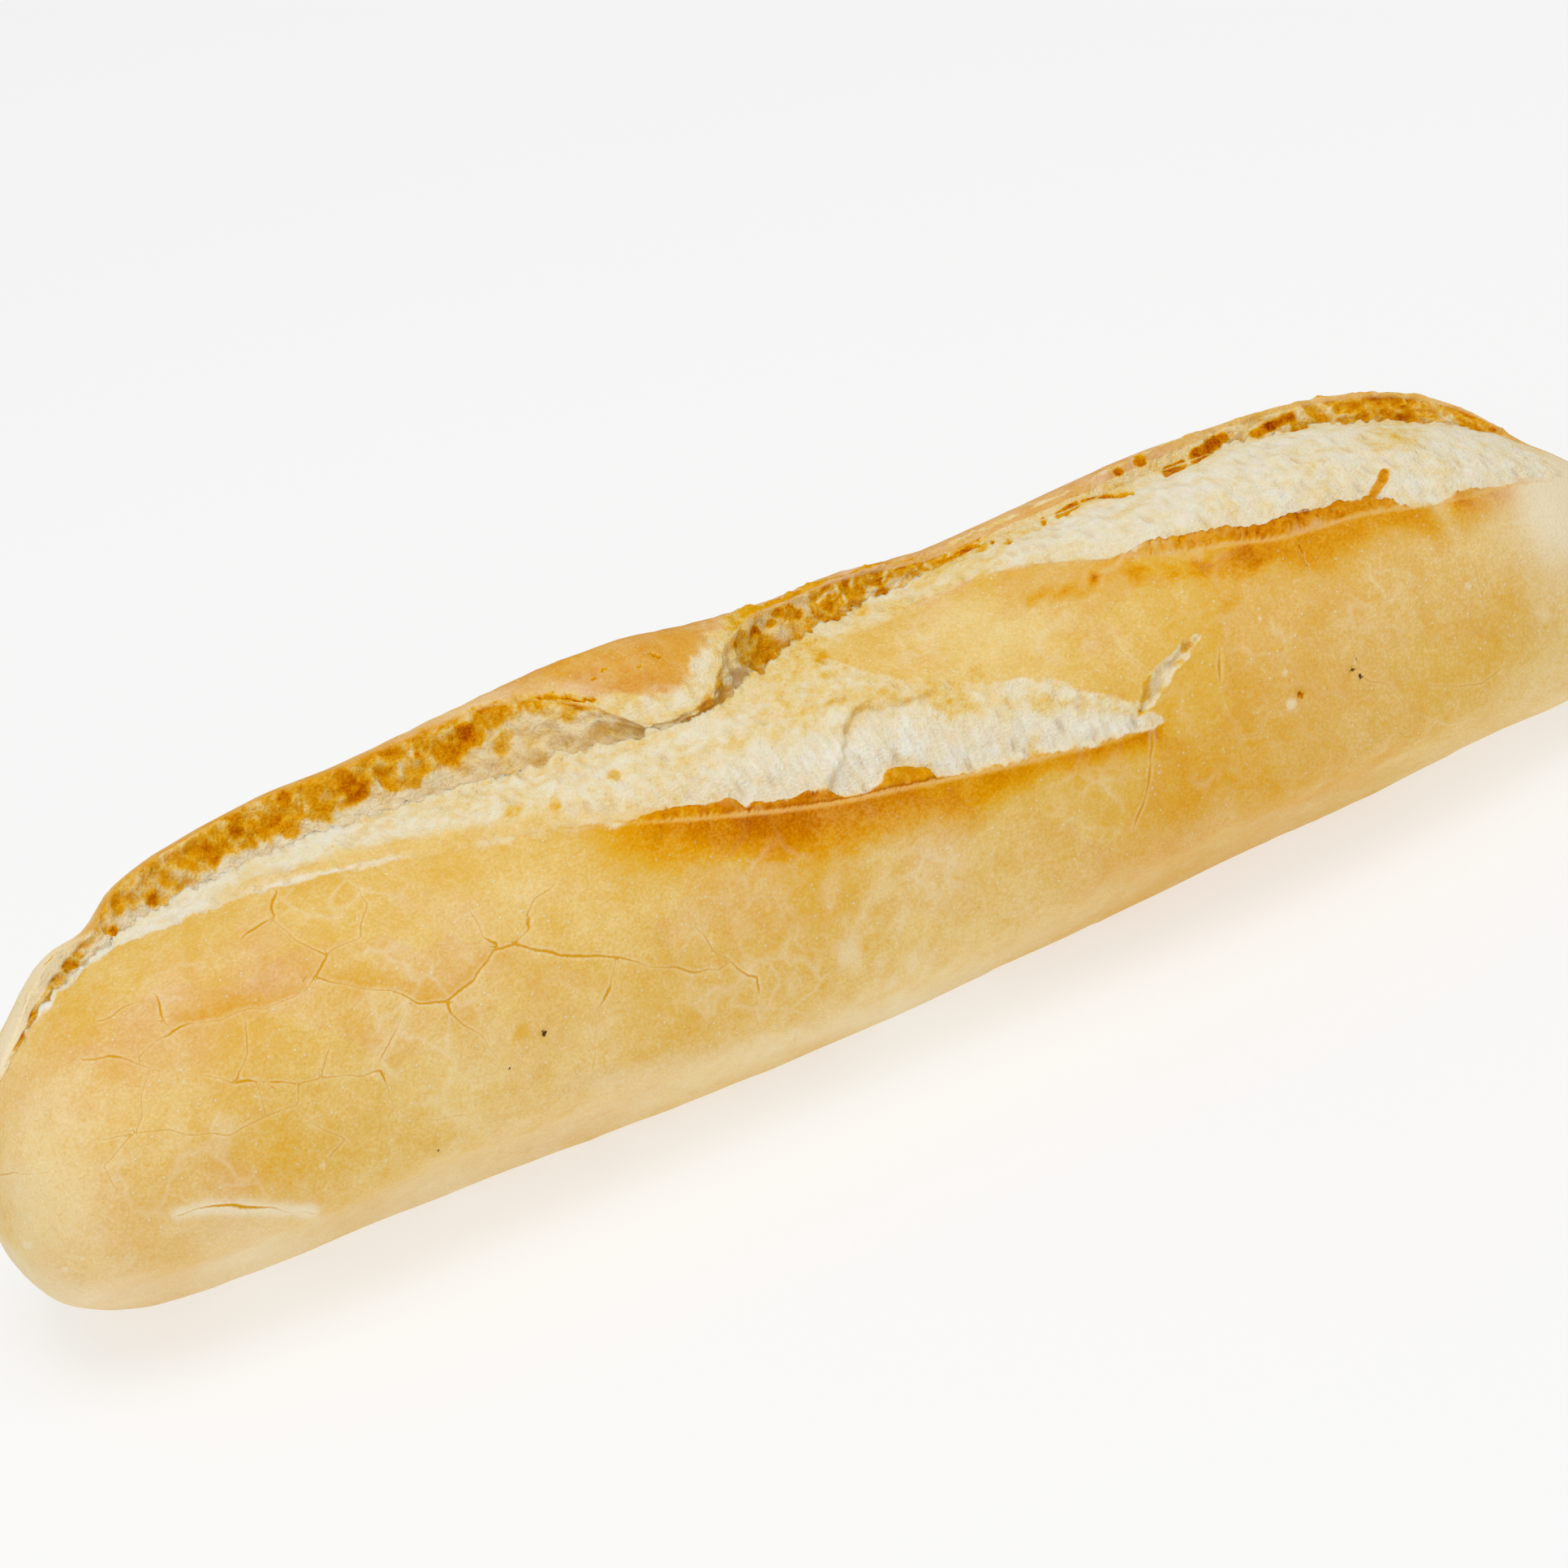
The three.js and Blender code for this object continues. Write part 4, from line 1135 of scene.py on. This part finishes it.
# ---- Materials: baked crust and bared bread
# The crust is thin, dry and matt, mottled from straw to tan, with pin-prick blisters. The bared
# bread is white and cottony, toasted golden to brown wherever a crag stands up into the heat.
def add(tree, kind, **settings):
    """A node, with settings for its properties and, by socket name in capitals, its inputs."""
    new = tree.nodes.new("ShaderNode" + kind)
    for name, value in settings.items():
        if name in new.bl_rna.properties:
            setattr(new, name, value)
        else:
            new.inputs[name.replace("_", " ")].default_value = value
    return new


def join(tree, source, target):
    """Links a socket to an input, or sets the input to a plain value."""
    if isinstance(source, bpy.types.NodeSocket):
        tree.links.new(source, target)
    else:
        target.default_value = source


def maths(tree, operation, a, b=0.0, clamp=False):
    """A maths node's value, from two values or sockets."""
    new = add(tree, "Math", operation=operation, use_clamp=clamp)
    for socket, value in zip(new.inputs, (a, b)):
        join(tree, value, socket)
    return new.outputs[0]


def sums(tree):
    """The tree's own plus, minus and times."""
    return [partial(maths, tree, operation) for operation in ("ADD", "SUBTRACT", "MULTIPLY")]


def blend_colours(tree, share, first, second):
    new = add(tree, "Mix", data_type="RGBA")
    for socket, value in ((new.inputs[0], share), (new.inputs[6], first), (new.inputs[7], second)):
        join(tree, value, socket)
    return new.outputs[2]


def ramp(tree, value, stops):
    """A colour ramp through (place, colour) stops."""
    new = add(tree, "ValToRGB")
    elements = new.color_ramp.elements
    while len(elements) < len(stops):
        elements.new(0.5)
    for element, (place, colour) in zip(elements, stops):
        element.position = place
        element.color = srgb(*colour)
    join(tree, value, new.inputs[0])
    return new.outputs[0]


def srgb(*colour):
    """A colour given as seen on screen, from 0 to 255, as the renderer's own linear one."""
    linear = [((v / 255 + 0.055) / 1.055) ** 2.4 if v > 10 else v / 3294 for v in colour]
    return (*linear, 1.0)


def noise(tree, coordinates, size_mm, detail=2.0):
    """Noise with bumps about size_mm apart, centred on zero."""
    new = add(tree, "TexNoise", Scale=1000 / size_mm, Detail=detail, Roughness=0.55)
    join(tree, coordinates, new.inputs["Vector"])
    return maths(tree, "SUBTRACT", new.outputs["Fac"], 0.5)


def new_group(name, inputs, outputs):
    """An empty node group with a place and named values, and its input and output nodes."""
    group = bpy.data.node_groups.new(name, "ShaderNodeTree")
    group.interface.new_socket("Vector", in_out="INPUT", socket_type="NodeSocketVector")
    for socket_name in inputs:
        group.interface.new_socket(socket_name, in_out="INPUT", socket_type="NodeSocketFloat")
    for socket_name in outputs:
        group.interface.new_socket(socket_name, in_out="OUTPUT", socket_type="NodeSocketFloat")
    return group, group.nodes.new("NodeGroupInput").outputs, group.nodes.new("NodeGroupOutput").inputs


def mottle_group():
    """Patchy browning at four sizes, centred on zero."""
    group, given, result = new_group("mottle", [], ["Tone"])
    plus, _, times = sums(group)
    total = 0.0
    for size_mm, weight in ((14, 0.26), (4.0, 0.2), (1.3, 0.14), (0.45, 0.32)):
        total = plus(times(noise(group, given[0], size_mm), weight), total)
    join(group, total, result["Tone"])
    return group


def pin_group():
    """Scattered pin-prick blisters: a mask that is 1 on the few cells that have one."""
    group, given, result = new_group("pin_blisters", ["Spacing", "Reach"], ["Mask"])
    _, minus, times = sums(group)
    dots = add(group, "TexVoronoi", feature="F1")
    join(group, given["Vector"], dots.inputs["Vector"])
    join(group, maths(group, "DIVIDE", 1000, given["Spacing"]), dots.inputs["Scale"])
    near = times(minus(given["Reach"], dots.outputs["Distance"]), 18, clamp=True)
    few = add(group, "SeparateColor")
    join(group, dots.outputs["Color"], few.inputs[0])
    chosen = maths(group, "GREATER_THAN", few.outputs[0], 0.4)
    join(group, times(near, chosen), result["Mask"])
    return group


def craze_group():
    """Plates of crust of slightly different tone, and hairlines between some of them."""
    group, given, result = new_group("craze", ["Spacing", "Width"], ["Line", "Tone"])
    _, minus, times = sums(group)
    bend = add(group, "TexNoise", Scale=160, Detail=2)
    join(group, given["Vector"], bend.inputs["Vector"])
    offset = add(group, "VectorMath", operation="SCALE", Scale=0.008)
    join(group, bend.outputs["Color"], offset.inputs[0])
    bent = add(group, "VectorMath", operation="ADD")
    join(group, given["Vector"], bent.inputs[0])
    join(group, offset.outputs[0], bent.inputs[1])
    net = add(group, "TexVoronoi", feature="DISTANCE_TO_EDGE")
    plate = add(group, "TexVoronoi", feature="F1")
    per_metre = maths(group, "DIVIDE", 1000, given["Spacing"])
    for texture in (net, plate):
        join(group, bent.outputs[0], texture.inputs["Vector"])
        join(group, per_metre, texture.inputs["Scale"])
    line = minus(1, maths(group, "DIVIDE", net.outputs["Distance"], given["Width"]), clamp=True)
    patch = times(noise(group, given["Vector"], 17), 9, clamp=True)
    join(group, times(line, patch), result["Line"])
    lot = add(group, "SeparateColor")
    join(group, plate.outputs["Color"], lot.inputs[0])
    join(group, minus(lot.outputs[0], 0.5), result["Tone"])
    return group


MOTTLE = mottle_group()
PINS = pin_group()
CRAZE = craze_group()


def use_group(tree, group, vector, **values):
    new = add(tree, "Group", node_tree=group)
    join(tree, vector, new.inputs["Vector"])
    for name, value in values.items():
        join(tree, value, new.inputs[name])
    return new.outputs


# Tones from the least baked or toasted to the most, each with its place from 0 to 1
CRUST_TONES = [
    (0.00, (247, 228, 172)), (0.22, (240, 206, 130)), (0.36, (233, 188, 92)), (0.50, (232, 175, 48)),
    (0.62, (230, 158, 8)), (0.76, (214, 132, 0)), (0.88, (190, 100, 0)), (1.00, (136, 62, 4)),
]
ROSY_TONES = [
    (0.00, (247, 228, 190)), (0.22, (241, 207, 160)), (0.36, (234, 187, 132)), (0.52, (222, 162, 100)),
    (0.70, (204, 130, 66)), (0.85, (176, 98, 40)), (1.00, (124, 60, 22)),
]
BREAD_TONES = [
    (0.00, (255, 249, 235)), (0.22, (253, 235, 198)), (0.38, (248, 213, 134)), (0.52, (242, 184, 44)),
    (0.64, (236, 164, 6)), (0.78, (218, 130, 0)), (0.90, (194, 92, 0)), (1.00, (150, 64, 0)),
]
FLOUR_AND_HIGHLIGHT_PALE = srgb(247, 234, 202)
BLISTER_PALE = srgb(251, 238, 204)
CHALK_PALE = srgb(250, 232, 186)
CRACK_BROWN = srgb(220, 158, 20)
CHAR = srgb(84, 58, 18)
# Painted highlight along the rims' ridges
RIDGE_HIGHLIGHT = srgb(238, 186, 112)
GROOVE_BROWN = srgb(184, 92, 2)
PORE_SHADE = srgb(204, 178, 126)
BREAD_SCATTER = (0.9, 0.6, 0.35)
BREAD_SCATTER_REACH = 0.002


def tint(tree, name):
    return add(tree, "Attribute", attribute_name=name).outputs["Fac"]


def bread_patterns(tree):
    """The mottling, blisters, plates, grain and fibres of the crust and the bread."""
    place = add(tree, "TexCoord").outputs["Object"]
    stretched = add(tree, "Mapping", Scale=(1, 0.2, 1))
    join(tree, add(tree, "Attribute", attribute_name="wrap").outputs["Vector"], stretched.inputs["Vector"])
    fibre = noise(tree, stretched.outputs[0], 0.8, 2)
    craze, plate = use_group(tree, CRAZE, place, Spacing=24, Width=0.010)
    return SimpleNamespace(
        mottle=use_group(tree, MOTTLE, place)[0],
        pins=use_group(tree, PINS, place, Spacing=1.5, Reach=0.17)[0],
        craze=craze,
        plate=plate,
        veins=use_group(tree, CRAZE, place, Spacing=7, Width=0.11)[0],
        fine=noise(tree, place, 0.5, 3),
        grain=noise(tree, place, 1.5, 3),
        fibre=maths(tree, "MULTIPLY", fibre, tint(tree, "fibrous")),
    )


def baked_colour(tree, shown):
    """The crust's colour: golden and rosy browning, flour, painted highlights at the ends, veins and
    blisters.
    """
    plus, minus, times = sums(tree)
    bake = plus(plus(tint(tree, "bake"), shown.mottle), times(shown.plate, 0.05))
    rosy = plus(plus(tint(tree, "rosy"), times(shown.grain, 0.5)), times(shown.plate, 0.45), clamp=True)
    less = minus(1.75, times(tint(tree, "bake"), 2.2), clamp=True)
    golden, rosier = ramp(tree, bake, CRUST_TONES), ramp(tree, bake, ROSY_TONES)
    crust = blend_colours(tree, times(rosy, less), golden, rosier)
    pale = times(plus(tint(tree, "pale"), times(shown.mottle, -0.6)), 0.8, clamp=True)
    pale = maths(tree, "MAXIMUM", pale, times(times(shown.veins, 0.3), less))
    # The pale mask is flour and paler crust, and at the loaf's ends painted highlight
    crust = blend_colours(tree, pale, crust, FLOUR_AND_HIGHLIGHT_PALE)
    return blend_colours(tree, times(shown.pins, times(less, 0.45)), crust, BLISTER_PALE)


def cracked_colour(tree, shown, crust):
    """The crust's colour with its cracks and their chalky borders, and where the cracks are."""
    plus, minus, times = sums(tree)
    off_crack = maths(tree, "ABSOLUTE", plus(tint(tree, "crack_side"), times(shown.fine, 0.3)))
    chalk = times(times(minus(0.7, off_crack, clamp=True), 0.7), tint(tree, "crack"))
    crust = blend_colours(tree, chalk, crust, CHALK_PALE)
    crack = times(minus(times(tint(tree, "crack"), 0.33), off_crack), 4.5, clamp=True)
    crack = maths(tree, "MAXIMUM", crack, times(shown.craze, 0.15))
    return blend_colours(tree, crack, crust, CRACK_BROWN), crack


def rimmed_colour(tree, shown, crust):
    """The crust's colour with a painted highlight along the rims' ridges, brown grooves, and charred
    specks.
    """
    plus, minus, times = sums(tree)
    side = plus(tint(tree, "rim_side"), times(shown.grain, 0.5))
    # Painted highlight: a pale line along each rim's ridge
    ridge = minus(1, times(maths(tree, "ABSOLUTE", side), 2), clamp=True)
    crust = blend_colours(tree, times(ridge, times(tint(tree, "ridge"), 0.5)), crust, RIDGE_HIGHLIGHT)
    groove = minus(1, times(maths(tree, "ABSOLUTE", minus(side, 0.5)), 4), clamp=True)
    crust = blend_colours(tree, times(groove, tint(tree, "groove")), crust, GROOVE_BROWN)
    char = plus(times(tint(tree, "char"), 3), times(shown.fine, 4))
    return blend_colours(tree, minus(char, 1.4, clamp=True), crust, CHAR)


def bared_colour(tree, shown):
    """The bared bread's colour, crisper where it is toasted and shaded in its pores."""
    plus, minus, times = sums(tree)
    crisp = plus(times(shown.grain, 0.42), times(shown.fine, 0.42))
    crisp = times(crisp, plus(times(tint(tree, "toast"), 1.4), 0.1))
    toast = minus(plus(tint(tree, "toast"), crisp), times(shown.fibre, 0.25), clamp=True)
    shade = minus(tint(tree, "shade"), times(shown.fibre, 0.7), clamp=True)
    return blend_colours(tree, times(shade, 0.7), ramp(tree, toast, BREAD_TONES), PORE_SHADE)


def bread_material():
    """Baked crust where the skin is whole, and softer, rougher bread where it is torn."""
    material = bpy.data.materials.new("baked_bread")
    material.use_nodes = True
    tree = material.node_tree
    shader = tree.nodes["Principled BSDF"].inputs
    plus, minus, times = sums(tree)
    shown = bread_patterns(tree)
    crust, crack = cracked_colour(tree, shown, baked_colour(tree, shown))
    crust = rimmed_colour(tree, shown, crust)
    torn = minus(times(plus(tint(tree, "torn"), times(shown.fine, 0.9)), 2), 0.5, clamp=True)
    join(tree, blend_colours(tree, torn, crust, bared_colour(tree, shown)), shader["Base Color"])
    join(tree, plus(plus(times(torn, 0.25), 0.62), times(shown.grain, 0.2)), shader["Roughness"])
    crust_height = minus(plus(times(shown.fine, 0.3), times(shown.pins, 0.08)), times(crack, 0.04))
    bread_height = plus(plus(times(shown.fine, 0.5), times(shown.grain, 0.4)), times(shown.fibre, 0.25))
    lumps = add(tree, "Bump", Strength=0.8, Distance=0.001)
    join(tree, plus(times(bread_height, torn), crust_height), lumps.inputs["Height"])
    join(tree, lumps.outputs[0], shader["Normal"])
    join(tree, times(torn, 0.35), shader["Subsurface Weight"])
    join(tree, BREAD_SCATTER, shader["Subsurface Radius"])
    join(tree, BREAD_SCATTER_REACH, shader["Subsurface Scale"])
    join(tree, 0.0, shader["Specular IOR Level"])
    return material


skin.data.materials.append(bread_material())


# ---- Floor and light
# A plain white table under big soft lamps, in a bright white room.
WHITE = (1, 1, 1, 1)
TABLE_GREY = (0.38, 0.38, 0.38, 1)
TABLE_GLOW = 0.575
TABLE_SIZE = 6
TABLE_DROP = 0.0004  # keeps the table just clear of the loaf's base
ROOM_BRIGHTNESS = 0.5


def white_table():
    bpy.ops.mesh.primitive_plane_add(size=TABLE_SIZE, location=(0, 0, -TABLE_DROP))
    table = bpy.context.object
    table.name = "white_table"
    material = bpy.data.materials.new("white_table")
    material.use_nodes = True
    shader = material.node_tree.nodes["Principled BSDF"]
    shader.inputs["Base Color"].default_value = TABLE_GREY
    shader.inputs["Emission Color"].default_value = WHITE
    shader.inputs["Emission Strength"].default_value = TABLE_GLOW
    shader.inputs["Roughness"].default_value = 0.6
    table.data.materials.append(material)


def soft_lamp(name, place, width, watts):
    """A square lamp of the given width in metres, aimed at the loaf."""
    bpy.ops.object.light_add(type="AREA", location=place)
    lamp = bpy.context.object
    lamp.name = name
    lamp.data.size = width
    lamp.data.energy = watts
    lamp.rotation_mode = "QUATERNION"
    lamp.rotation_quaternion = (Vector((0, 0, 0.02)) - Vector(place)).to_track_quat("-Z", "Y")


white_table()
soft_lamp("overhead", (-0.1, -0.15, 1.3), 1.2, 8)
soft_lamp("front_left", (-0.9, -1.1, 0.8), 0.9, 3.5)
world = bpy.data.worlds.new("white_room")
world.use_nodes = True
world.node_tree.nodes["Background"].inputs["Color"].default_value = WHITE
world.node_tree.nodes["Background"].inputs["Strength"].default_value = ROOM_BRIGHTNESS
bpy.context.scene.world = world
bpy.context.scene.view_settings.view_transform = "Standard"
